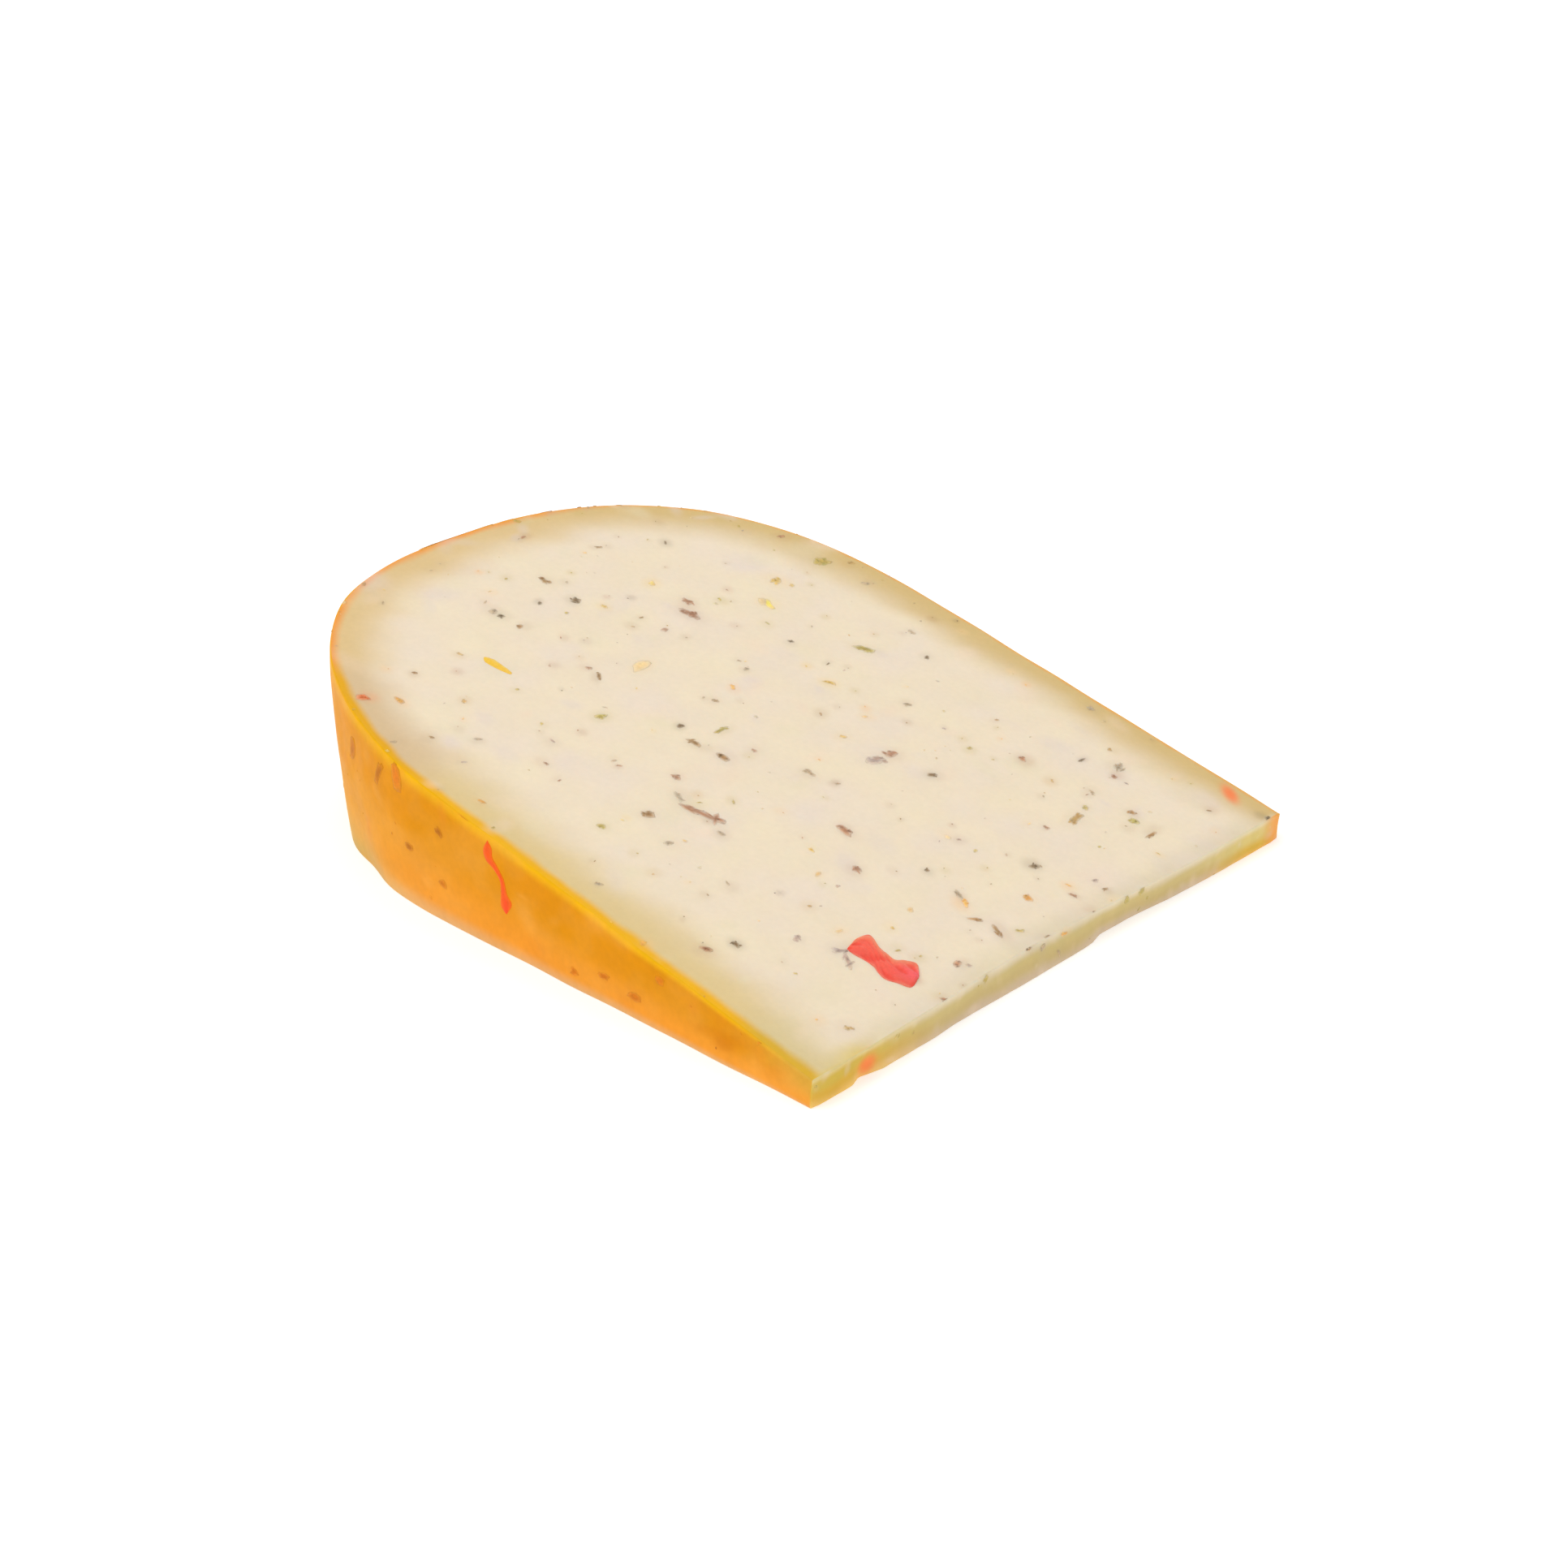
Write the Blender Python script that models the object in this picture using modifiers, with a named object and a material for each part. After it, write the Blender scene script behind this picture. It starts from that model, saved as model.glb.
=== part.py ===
"""A wedge of semi-hard cheese with chili and herbs, cut from a wheel and lying on one cut face.

The wheel's axis runs along Y and lies just beyond the tip, which has been cut off square.
The lower cut face is the plane z = 0. The upper one is the same outline, turned about the axis by
the wedge angle. The wheel's two flat sides are at -Y and +Y, its rim is at -X, the tip at +X.
Metres, +Z up, origin on the floor under the middle of the wedge.
"""

import math

import bmesh
import bpy
import numpy as np
from mathutils import Matrix, Vector

MM = 0.001
NODE = "cheese_wedge"

# Wheel and wedge
WHEEL_HEIGHT = 106.0 * MM
CUT_DEPTH = 130.2 * MM
TIP_HEIGHT = 4.56 * MM
WEDGE_ANGLE = math.radians(12.23)
AXIS_BEYOND_TIP = TIP_HEIGHT / math.tan(WEDGE_ANGLE)

# The wheel's two rounded shoulders, as superellipse arcs from the flat side to the rim
NEAR_FLAT = 77.9 * MM
NEAR_LENGTH_POWER = 1.88
NEAR_WIDTH_POWER = 2.93
FAR_FLAT = 58.2 * MM
FAR_LENGTH_POWER = 3.33
FAR_WIDTH_POWER = 2.08

# The rim leans outwards: its lower edge is drawn in towards the tip
RIM_DRAWN_IN = 6.3 * MM

# A flattened spot on the lower edge of the near shoulder
SPOT_ALONG = 97.5 * MM
SPOT_REACH = 5.0 * MM
SPOT_DEPTH = 0.6 * MM

# The tip cut's upper edge is bowed in
TIP_BOW = 1.36 * MM
TIP_BOW_CENTRE = -4.0 * MM
TIP_BOW_SPREAD = 26.0 * MM

# Its lower edge is torn: distance towards the far side, and how far the edge stands out
TIP_LOWER_EDGE = (
    (-53.0 * MM, 0.1 * MM),
    (-51.5 * MM, 0.35 * MM),
    (-45.0 * MM, 0.35 * MM),
    (-43.0 * MM, -0.45 * MM),
    (-39.0 * MM, 0.45 * MM),
    (-28.0 * MM, 0.35 * MM),
    (-23.0 * MM, 0.0 * MM),
    (-8.0 * MM, 0.15 * MM),
    (5.0 * MM, 0.05 * MM),
    (7.2 * MM, -0.15 * MM),
    (10.0 * MM, -0.95 * MM),
    (19.0 * MM, -0.7 * MM),
    (25.0 * MM, -0.1 * MM),
    (35.0 * MM, 0.35 * MM),
    (51.0 * MM, 0.5 * MM),
    (53.0 * MM, 0.3 * MM),
)

# Facets
SIDE_STEP = 3.2 * MM
TIP_STEP = 1.8 * MM
WALL_ROWS = 8
DENSE_SAMPLES = 1600
EDGE_ROUNDING = 0.2 * MM
EDGE_SEGMENTS = 2
SHARP_ANGLE = math.radians(45.0)

# Bits of chili and herb that stand a little out of the cut and out of the rind
SEED = 26
BIT_PROUD = 0.28 * MM
BIT_SUNK = 0.45 * MM
BIT_JITTER = 0.16
CHILI_PROUD = 0.55 * MM
CHILI_SUNK = 1.2 * MM
CUT_EDGE_CLEARANCE = 3.2 * MM
CUT_BITS = 74
CUT_BIT_SPACING = 7.0 * MM
LONGEST_CUT_BIT = 2.8 * MM
WALL_EDGE_CLEARANCE = 1.2 * MM
RIND_BITS = 40
RIND_BIT_SPACING = 9.0 * MM
RIND_MARGIN = 0.15
RIND_BIT_LEAN = 25.0
LONGEST_RIND_BIT = 3.6 * MM
TIP_BITS = 9
TIP_BIT_SPACING = 7.0 * MM
TIP_MARGIN = 0.35
LONGEST_TIP_BIT = 1.7 * MM
THROWS_PER_BIT = 60

# Material slots of the node
PASTE, RIND, CHILI, HERB, PEPPER = range(5)
MATERIALS = (
    ("cheese_paste", (0.86, 0.74, 0.53), 0.42),
    ("rind_coating", (0.85, 0.36, 0.03), 0.38),
    ("red_chili", (0.78, 0.07, 0.03), 0.32),
    ("dried_herb", (0.13, 0.10, 0.05), 0.60),
    ("yellow_pepper", (0.88, 0.42, 0.06), 0.40),
)

# The largest bits of the upper cut face, placed one by one: distance from the tip, distance
# towards the far side, length, width, turn in degrees from the way to the rim, material
LARGE_CUT_BITS = (
    (96.5 * MM, -23.0 * MM, 5.6 * MM, 1.5 * MM, 169.0, PEPPER),
    (84.5 * MM, -3.5 * MM, 3.5 * MM, 1.8 * MM, 82.0, PEPPER),
    (51.0 * MM, -23.5 * MM, 7.0 * MM, 1.5 * MM, 166.0, CHILI),
    (45.5 * MM, 9.5 * MM, 4.6 * MM, 2.1 * MM, 108.0, HERB),
    (36.0 * MM, -8.5 * MM, 3.0 * MM, 2.0 * MM, 15.0, HERB),
    (91.5 * MM, 14.0 * MM, 3.8 * MM, 1.9 * MM, 173.0, HERB),
    (91.5 * MM, 44.0 * MM, 2.9 * MM, 2.4 * MM, 121.0, HERB),
    (17.5 * MM, 23.5 * MM, 3.5 * MM, 1.8 * MM, 88.0, HERB),
    (14.5 * MM, -6.5 * MM, 4.2 * MM, 1.0 * MM, 24.0, HERB),
    (68.5 * MM, 31.0 * MM, 3.9 * MM, 1.3 * MM, 147.0, HERB),
)

# The big piece of chili near the tip: two fused lobes
CHILI_LOBES = (
    (13.8 * MM, -27.6 * MM, 7.0 * MM, 5.0 * MM, 160.0),
    (8.6 * MM, -26.9 * MM, 7.2 * MM, 4.8 * MM, 128.0),
)

# The strand of chili under the near side's coating, from its top down: distance from the tip,
# height, length, width, lean in degrees from upright towards the rim
STRAND = (
    (64.0 * MM, 15.6 * MM, 3.0 * MM, 1.6 * MM, 22.0),
    (62.0 * MM, 12.6 * MM, 5.2 * MM, 0.9 * MM, 42.0),
    (60.0 * MM, 9.0 * MM, 3.6 * MM, 1.8 * MM, 16.0),
)


def clear_scene() -> None:
    """Removes the objects that Blender starts with."""
    for thing in list(bpy.data.objects):
        bpy.data.objects.remove(thing, do_unlink=True)


def make_materials() -> list:
    """Returns one Principled material for each slot, in slot order."""
    made = []
    for name, colour, roughness in MATERIALS:
        material = bpy.data.materials.new(name)
        material.use_nodes = True
        shader = material.node_tree.nodes["Principled BSDF"]
        shader.inputs["Base Color"].default_value = (*colour, 1.0)
        shader.inputs["Roughness"].default_value = roughness
        shader.inputs["Metallic"].default_value = 0.0
        made.append(material)
    return made


def shoulder(flat: float, length_power: float, width_power: float) -> np.ndarray:
    """Half of the cut outline, from the tip to the middle of the rim.

    The side is straight as far as `flat`, and then a superellipse arc: with t the share of the way
    to the rim, the half width is (1 - t^length_power)^(1 / width_power) of the full one.
    Returns rows of (distance from the tip, half width), closest together where the arc bends most.
    """
    turn = np.linspace(0.0, math.pi / 2, DENSE_SAMPLES)
    along = flat + (CUT_DEPTH - flat) * np.sin(turn) ** (2 / length_power)
    share = np.clip(np.cos(turn), 0.0, 1.0) ** (2 / width_power)
    arc = np.stack([along, share * WHEEL_HEIGHT / 2], axis=1)
    start = np.array([[0.0, WHEEL_HEIGHT / 2]])
    return np.concatenate([start, arc])


def resample(points: np.ndarray, step: float) -> np.ndarray:
    """Points evenly spaced by about `step` along a polyline, with both of its ends."""
    lengths = np.linalg.norm(np.diff(points, axis=0), axis=1)
    travelled = np.concatenate([[0.0], np.cumsum(lengths)])
    count = max(2, round(travelled[-1] / step) + 1)
    stops = np.linspace(0.0, travelled[-1], count)
    return np.stack([np.interp(stops, travelled, axis) for axis in points.T], axis=1)


def cut_outline() -> tuple:
    """The outline of a cut face as (distance from the tip, across) rows, and a mask of its tip points.

    It runs from the near tip corner along the near side, round the rim and back along the far side,
    and then along the tip to where it began.
    """
    near = resample(shoulder(NEAR_FLAT, NEAR_LENGTH_POWER, NEAR_WIDTH_POWER), SIDE_STEP)
    far = resample(shoulder(FAR_FLAT, FAR_LENGTH_POWER, FAR_WIDTH_POWER), SIDE_STEP)
    near[:, 1] *= -1.0
    round_the_rim = np.concatenate([near, far[::-1][1:]])
    tip_count = round(WHEEL_HEIGHT / TIP_STEP)
    across = np.linspace(WHEEL_HEIGHT / 2, -WHEEL_HEIGHT / 2, tip_count + 1)[1:-1]
    tip = np.stack([np.zeros_like(across), across], axis=1)
    outline = np.concatenate([round_the_rim, tip])
    on_tip = np.abs(outline[:, 0]) < MM / 1000
    return outline, on_tip


def tip_recess(across: np.ndarray, height_share: np.ndarray) -> np.ndarray:
    """How far the tip cut stands back: the bow at its upper edge, fading to the torn lower edge."""
    bow = TIP_BOW * np.exp(-(((across - TIP_BOW_CENTRE) / TIP_BOW_SPREAD) ** 2))
    places, proud = np.array(TIP_LOWER_EDGE).T
    torn = np.interp(across, places, proud)
    return bow * height_share - torn * (1.0 - height_share)


def spot_recess(along: np.ndarray, across: np.ndarray, height_share: np.ndarray) -> np.ndarray:
    """How far the near shoulder's flattened spot stands back: a dimple that fades upwards."""
    dimple = np.exp(-(((along - SPOT_ALONG) / SPOT_REACH) ** 2)) * (1.0 - height_share) ** 2
    return np.where(across < 0.0, SPOT_DEPTH * dimple, 0.0)


def wheel_point(along, across, height_share) -> np.ndarray:
    """Places points of the cut outline in the wedge, before it is centred.

    height_share is 0 on the lower cut face and 1 on the upper one. A point turns about the wheel's
    axis by that share of the wedge angle, and the rim's lower part is drawn in.
    """
    turn = height_share * WEDGE_ANGLE
    radius = AXIS_BEYOND_TIP + along
    drawn_in = RIM_DRAWN_IN * (1.0 - height_share) * (along / CUT_DEPTH) ** 2
    x = AXIS_BEYOND_TIP - radius * np.cos(turn) + drawn_in
    z = radius * np.sin(turn)
    return np.stack(np.broadcast_arrays(x, across, z), axis=-1)


def wall_grid(outline: np.ndarray, on_tip: np.ndarray) -> np.ndarray:
    """The wall round the wedge as rows of points, from the lower outline up to the upper one."""
    shares = np.linspace(0.0, 1.0, WALL_ROWS + 1)[:, None]
    along = np.broadcast_to(outline[:, 0], (WALL_ROWS + 1, len(outline)))
    across = np.broadcast_to(outline[:, 1], along.shape)
    across = across + spot_recess(along, across, shares)
    along = along + np.where(on_tip, tip_recess(across, shares), 0.0)
    return wheel_point(along, across, np.broadcast_to(shares, along.shape))


def centring(grid: np.ndarray) -> Vector:
    """The move that puts the middle of the wedge's box over the origin."""
    low = grid.reshape(-1, 3).min(axis=0)
    high = grid.reshape(-1, 3).max(axis=0)
    return Vector((-(low[0] + high[0]) / 2, -(low[1] + high[1]) / 2, 0.0))


def make_wedge(grid: np.ndarray, on_tip: np.ndarray, materials: list) -> bpy.types.Object:
    """The plain wedge: the lofted wall and the two flat cut faces, with its edges rounded."""
    rows, count = grid.shape[:2]
    here = np.arange(count)
    following = (here + 1) % count
    faces = []
    slots = []
    for row in range(rows - 1):
        below = row * count
        above = below + count
        quads = np.stack([below + following, below + here, above + here, above + following], axis=1)
        faces.extend(quads.tolist())
        slots.extend(np.where(on_tip & on_tip[following], PASTE, RIND).tolist())
    faces.append(here.tolist())
    faces.append((here[::-1] + (rows - 1) * count).tolist())
    slots.extend([PASTE, PASTE])

    mesh = bpy.data.meshes.new(NODE)
    mesh.from_pydata(grid.reshape(-1, 3).tolist(), [], faces)
    for material in materials:
        mesh.materials.append(material)
    mesh.polygons.foreach_set("material_index", slots)
    wedge = bpy.data.objects.new(NODE, mesh)

    rounding = wedge.modifiers.new("edge_rounding", "BEVEL")
    rounding.width = EDGE_ROUNDING
    rounding.segments = EDGE_SEGMENTS
    rounding.limit_method = "ANGLE"
    rounding.angle_limit = SHARP_ANGLE
    return wedge


def surface_frame(origin: Vector, first: Vector, second: Vector, degrees: float) -> Matrix:
    """A placement on a surface: z along its normal, x turned by `degrees` from the first tangent."""
    normal = first.cross(second).normalized()
    along = (Matrix.Rotation(math.radians(degrees), 3, normal) @ first).normalized()
    sideways = normal.cross(along)
    frame = Matrix((along, sideways, normal)).transposed().to_4x4()
    frame.translation = origin
    return frame


def cut_face_frame(along: float, across: float, degrees: float) -> Matrix:
    """A placement on the upper cut face, where the first tangent runs towards the rim."""
    origin = Vector(wheel_point(np.array(along), np.array(across), np.array(1.0)))
    towards_rim = Vector((-math.cos(WEDGE_ANGLE), 0.0, math.sin(WEDGE_ANGLE)))
    towards_near = Vector((0.0, -1.0, 0.0))
    return surface_frame(origin, towards_rim, towards_near, -degrees)


def wall_frame(grid: np.ndarray, place: float, height_share: float, degrees: float) -> Matrix:
    """A placement on the wall, at an outline index and a share of the wall's height."""
    index = int(place)
    row = min(int(height_share * WALL_ROWS), WALL_ROWS - 1)
    column = index % grid.shape[1]
    neighbour = (index + 1) % grid.shape[1]
    corners = [Vector(grid[r, c]) for r in (row, row + 1) for c in (column, neighbour)]
    sideways_share = place - index
    upward_share = height_share * WALL_ROWS - row
    low = corners[0].lerp(corners[1], sideways_share)
    high = corners[2].lerp(corners[3], sideways_share)
    origin = low.lerp(high, upward_share)
    along_outline = (corners[1] - corners[0]).normalized()
    upward = (high - low).normalized()
    return surface_frame(origin, upward, along_outline, degrees)


class BitMaker:
    """Makes the bits of chili and herb one after another, from one seeded source of chance."""

    def __init__(self, materials: list) -> None:
        self.rng = np.random.default_rng(SEED)
        self.materials = materials
        self.bits = []

    def add(self, frame: Matrix, size: tuple, slot: int) -> None:
        """Adds a flattened, uneven ball, partly sunk in the surface.

        size holds its length, its width, how far it stands proud and how deep it is sunk. Chili,
        which comes in the largest bits, takes a finer ball.
        """
        length, width, proud, sunk = size
        ball = bmesh.new()
        bmesh.ops.create_icosphere(ball, subdivisions=2 if slot == CHILI else 1, radius=1.0)
        for vertex in ball.verts:
            vertex.co *= 1.0 + self.rng.uniform(-BIT_JITTER, BIT_JITTER)
            half_height = proud if vertex.co.z > 0.0 else sunk
            vertex.co *= Vector((length / 2, width / 2, half_height))
        ball.transform(frame)
        mesh = bpy.data.meshes.new(f"bit_{len(self.bits):03d}")
        ball.to_mesh(mesh)
        ball.free()
        for material in self.materials:
            mesh.materials.append(material)
        mesh.polygons.foreach_set("material_index", [slot] * len(mesh.polygons))
        self.bits.append(bpy.data.objects.new(mesh.name, mesh))

    def add_small(self, frame: Matrix, longest: float, slots: tuple) -> None:
        """Adds a small bit of a drawn size, most often a slender one, in one of the given slots."""
        length = self.rng.uniform(0.45, 1.0) * longest
        width = self.rng.uniform(0.35, 0.75) * length
        slot = slots[self.rng.integers(len(slots))]
        self.add(frame, (length, width, BIT_PROUD, BIT_SUNK), slot)

    def throw_apart(self, count: int, spacing: float, draw, taken: list) -> list:
        """Draws up to `count` places that keep `spacing` from each other and from the taken points.

        draw() gives a (place, point) pair, or None where the draw misses the surface.
        """
        kept = []
        points = list(taken)
        for _ in range(count * THROWS_PER_BIT):
            if len(kept) == count:
                break
            drawn = draw()
            if drawn is None:
                continue
            place, point = drawn
            if all((point - other).length > spacing for other in points):
                kept.append(place)
                points.append(point)
        return kept


def inside_cut(outline: np.ndarray, along: float, across: float) -> bool:
    """Whether a point of the cut face is inside its outline and clear of the edge."""
    distances = np.hypot(outline[:, 0] - along, outline[:, 1] - across)
    same_side = outline[outline[:, 1] * across > 0]
    same_side = same_side[np.argsort(same_side[:, 0])]
    half_width = abs(np.interp(along, same_side[:, 0], same_side[:, 1]))
    return bool(distances.min() > CUT_EDGE_CLEARANCE and abs(across) < half_width)


def add_cut_face_bits(maker: BitMaker, outline: np.ndarray) -> None:
    """The bits of the upper cut face: the big chili, the large bits, and the scattered small ones."""
    taken = []
    for along, across, length, width, degrees in CHILI_LOBES:
        frame = cut_face_frame(along, across, degrees)
        maker.add(frame, (length, width, CHILI_PROUD, CHILI_SUNK), CHILI)
        taken.append(Vector((along, across)))
    for along, across, length, width, degrees, slot in LARGE_CUT_BITS:
        frame = cut_face_frame(along, across, degrees)
        maker.add(frame, (length, width, BIT_PROUD, BIT_SUNK), slot)
        taken.append(Vector((along, across)))

    def draw():
        along = maker.rng.uniform(0.0, CUT_DEPTH)
        across = maker.rng.uniform(-WHEEL_HEIGHT / 2, WHEEL_HEIGHT / 2)
        if not inside_cut(outline, along, across):
            return None
        return (along, across), Vector((along, across))

    for along, across in maker.throw_apart(CUT_BITS, CUT_BIT_SPACING, draw, taken):
        frame = cut_face_frame(along, across, maker.rng.uniform(0.0, 180.0))
        maker.add_small(frame, LONGEST_CUT_BIT, (HERB, HERB, HERB, PEPPER))


def wall_draw(maker: BitMaker, grid: np.ndarray, columns: np.ndarray, margin: float):
    """A draw of places on some columns of the wall, clear of its two edges by a share of its height."""

    def draw():
        place = maker.rng.choice(columns) + maker.rng.uniform(0.2, 0.8)
        share = maker.rng.uniform(margin, 1.0 - margin)
        point = wall_frame(grid, place, share, 0.0).translation.copy()
        top = grid[-1, int(place), 2]
        if min(point.z, top - point.z) < WALL_EDGE_CLEARANCE:
            return None
        return (place, share), point

    return draw


def add_strand(maker: BitMaker, grid: np.ndarray, outline: np.ndarray) -> list:
    """Adds the stretches of the chili strand on the near side, and returns where they lie."""
    near_side = outline[: outline[:, 0].argmax()]
    points = []
    for along, height, length, width, lean in STRAND:
        place = float(np.interp(along, near_side[:, 0], np.arange(len(near_side))))
        share = math.asin(height / (AXIS_BEYOND_TIP + along)) / WEDGE_ANGLE
        frame = wall_frame(grid, place, share, lean)
        maker.add(frame, (length, width, BIT_PROUD, BIT_SUNK), CHILI)
        points.append(frame.translation.copy())
    return points


def add_wall_bits(maker: BitMaker, grid: np.ndarray, outline: np.ndarray, on_tip: np.ndarray) -> None:
    """The bits under the rind's coating, the strand of chili among them, and those in the tip cut."""
    taken = add_strand(maker, grid, outline)
    rind_draw = wall_draw(maker, grid, np.flatnonzero(~on_tip)[2:-2], RIND_MARGIN)
    for place, share in maker.throw_apart(RIND_BITS, RIND_BIT_SPACING, rind_draw, taken):
        frame = wall_frame(grid, place, share, maker.rng.normal(0.0, RIND_BIT_LEAN))
        room = grid[-1, int(place), 2] / 2
        maker.add_small(frame, min(LONGEST_RIND_BIT, room), (HERB,))
    tip_draw = wall_draw(maker, grid, np.flatnonzero(on_tip)[3:-3], TIP_MARGIN)
    for place, share in maker.throw_apart(TIP_BITS, TIP_BIT_SPACING, tip_draw, taken):
        frame = wall_frame(grid, place, share, maker.rng.uniform(0.0, 180.0))
        maker.add_small(frame, LONGEST_TIP_BIT, (HERB, PEPPER))


def fuse(wedge: bpy.types.Object, bits: list) -> None:
    """Joins the bits to the wedge, so that it stays one closed solid, and removes them."""
    loose = bpy.data.collections.new("bits_to_fuse")
    bpy.context.scene.collection.children.link(loose)
    for bit in bits:
        loose.objects.link(bit)
    union = wedge.modifiers.new("bits", "BOOLEAN")
    union.operation = "UNION"
    union.operand_type = "COLLECTION"
    union.collection = loose
    union.solver = "EXACT"
    depsgraph = bpy.context.evaluated_depsgraph_get()
    whole = bpy.data.meshes.new_from_object(wedge.evaluated_get(depsgraph))
    wedge.modifiers.clear()
    wedge.data = whole
    for bit in bits:
        bpy.data.objects.remove(bit, do_unlink=True)
    bpy.data.collections.remove(loose)


def main() -> None:
    """Builds the wedge with its bits, as one node."""
    clear_scene()
    materials = make_materials()
    outline, on_tip = cut_outline()
    grid = wall_grid(outline, on_tip)
    wedge = make_wedge(grid, on_tip, materials)
    home = bpy.data.collections.new("chili_cheese")
    bpy.context.scene.collection.children.link(home)
    home.objects.link(wedge)
    maker = BitMaker(materials)
    add_cut_face_bits(maker, outline)
    add_wall_bits(maker, grid, outline, on_tip)
    fuse(wedge, maker.bits)
    wedge.data.transform(Matrix.Translation(centring(grid)))


if __name__ == "__main__":
    main()
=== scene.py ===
"""A wedge of chili cheese: its cut paste, its coated rind and the bits of chili and herb in it.

The wedge lies on one cut face. Plan coordinates are `along`, the distance from the tip cut towards
the rim, and `across`, from the near flat side of the wheel (negative) to the far one. Every piece
lies on one of the wedge's skins, which turn two coordinates and a lift into a place in the frame.
"""

import logging
import math
from dataclasses import dataclass, field
from enum import Enum

import bmesh
import bpy
import numpy as np
from mathutils import Matrix


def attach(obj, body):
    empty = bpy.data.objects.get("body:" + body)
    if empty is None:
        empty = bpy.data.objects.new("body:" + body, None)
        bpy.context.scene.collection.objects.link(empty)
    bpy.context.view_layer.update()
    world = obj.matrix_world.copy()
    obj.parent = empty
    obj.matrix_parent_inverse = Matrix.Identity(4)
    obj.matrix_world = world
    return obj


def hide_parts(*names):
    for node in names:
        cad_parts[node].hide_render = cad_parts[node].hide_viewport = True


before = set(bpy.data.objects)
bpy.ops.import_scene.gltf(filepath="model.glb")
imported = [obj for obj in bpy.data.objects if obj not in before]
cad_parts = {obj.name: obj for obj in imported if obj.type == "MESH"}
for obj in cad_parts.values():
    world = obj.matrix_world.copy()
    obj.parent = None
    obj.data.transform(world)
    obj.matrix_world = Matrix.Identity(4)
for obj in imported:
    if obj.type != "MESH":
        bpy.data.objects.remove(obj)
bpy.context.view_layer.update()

Array = np.ndarray
LOG = logging.getLogger("chili_cheese")
MM = 0.001
NODE = "cheese_wedge"
BODY = "root"
TONE = "tone"


def shown(red: float, green: float, blue: float) -> Array:
    """A colour as it looks on a screen, as linear light.

    Args:
        red, green, blue: the colour as shown, each from 0 to 255.

    Returns:
        Three linear values: below 0.04 a straight line, above it the power 2.4.
    """
    value = np.array([red, green, blue], float) / 255.0
    return np.where(value <= 0.04045, value / 12.92, ((value + 0.055) / 1.055) ** 2.4)


def ease(value: Array) -> Array:
    """The smooth step from 0 to 1: 3 v^2 - 2 v^3 of the value kept within 0 and 1."""
    kept = np.clip(value, 0.0, 1.0)
    return kept * kept * (3.0 - 2.0 * kept)


def mix(first: Array, second: Array, share: Array) -> Array:
    """first at share 0 and second at share 1, with the share spread over the colour's three values."""
    spread = np.asarray(share, float)[..., None]
    return first * (1.0 - spread) + second * spread


def axes_of(forward: Array) -> tuple[Array, Array, Array]:
    """The level way to the right of a view, its way up and its way forward."""
    right = np.cross(forward, (0.0, 0.0, 1.0))
    right /= np.linalg.norm(right)
    return right, np.cross(right, forward), forward


def stand(thing: bpy.types.Object, forward: Array, place: Array) -> None:
    """Puts a camera or a lamp at a place, looking forward, and links it to the scene."""
    right, up, ahead = axes_of(forward)
    turn = np.eye(4)
    turn[:3, 0], turn[:3, 1], turn[:3, 2] = right, up, -ahead
    turn[:3, 3] = place
    thing.matrix_world = Matrix(turn.tolist())
    bpy.context.scene.collection.objects.link(thing)


@dataclass(frozen=True)
class Waves:
    """A gentle unevenness: a sum of sine waves over two coordinates, drawn from a seed."""

    seed: int
    height: float
    shortest: float
    longest: float
    count: int = 7

    def at(self, first: Array, second: Array) -> Array:
        """Its height at two coordinates in metres: the mean of the waves times `height`."""
        rng = np.random.default_rng(self.seed)
        total = np.zeros(np.broadcast(first, second).shape)
        for _ in range(self.count):
            length = rng.uniform(self.shortest, self.longest)
            heading = rng.uniform(0.0, math.tau)
            phase = rng.uniform(0.0, math.tau)
            run = first * math.cos(heading) + second * math.sin(heading)
            total = total + np.sin(math.tau * run / length + phase)
        return total * self.height / math.sqrt(self.count)


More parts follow.
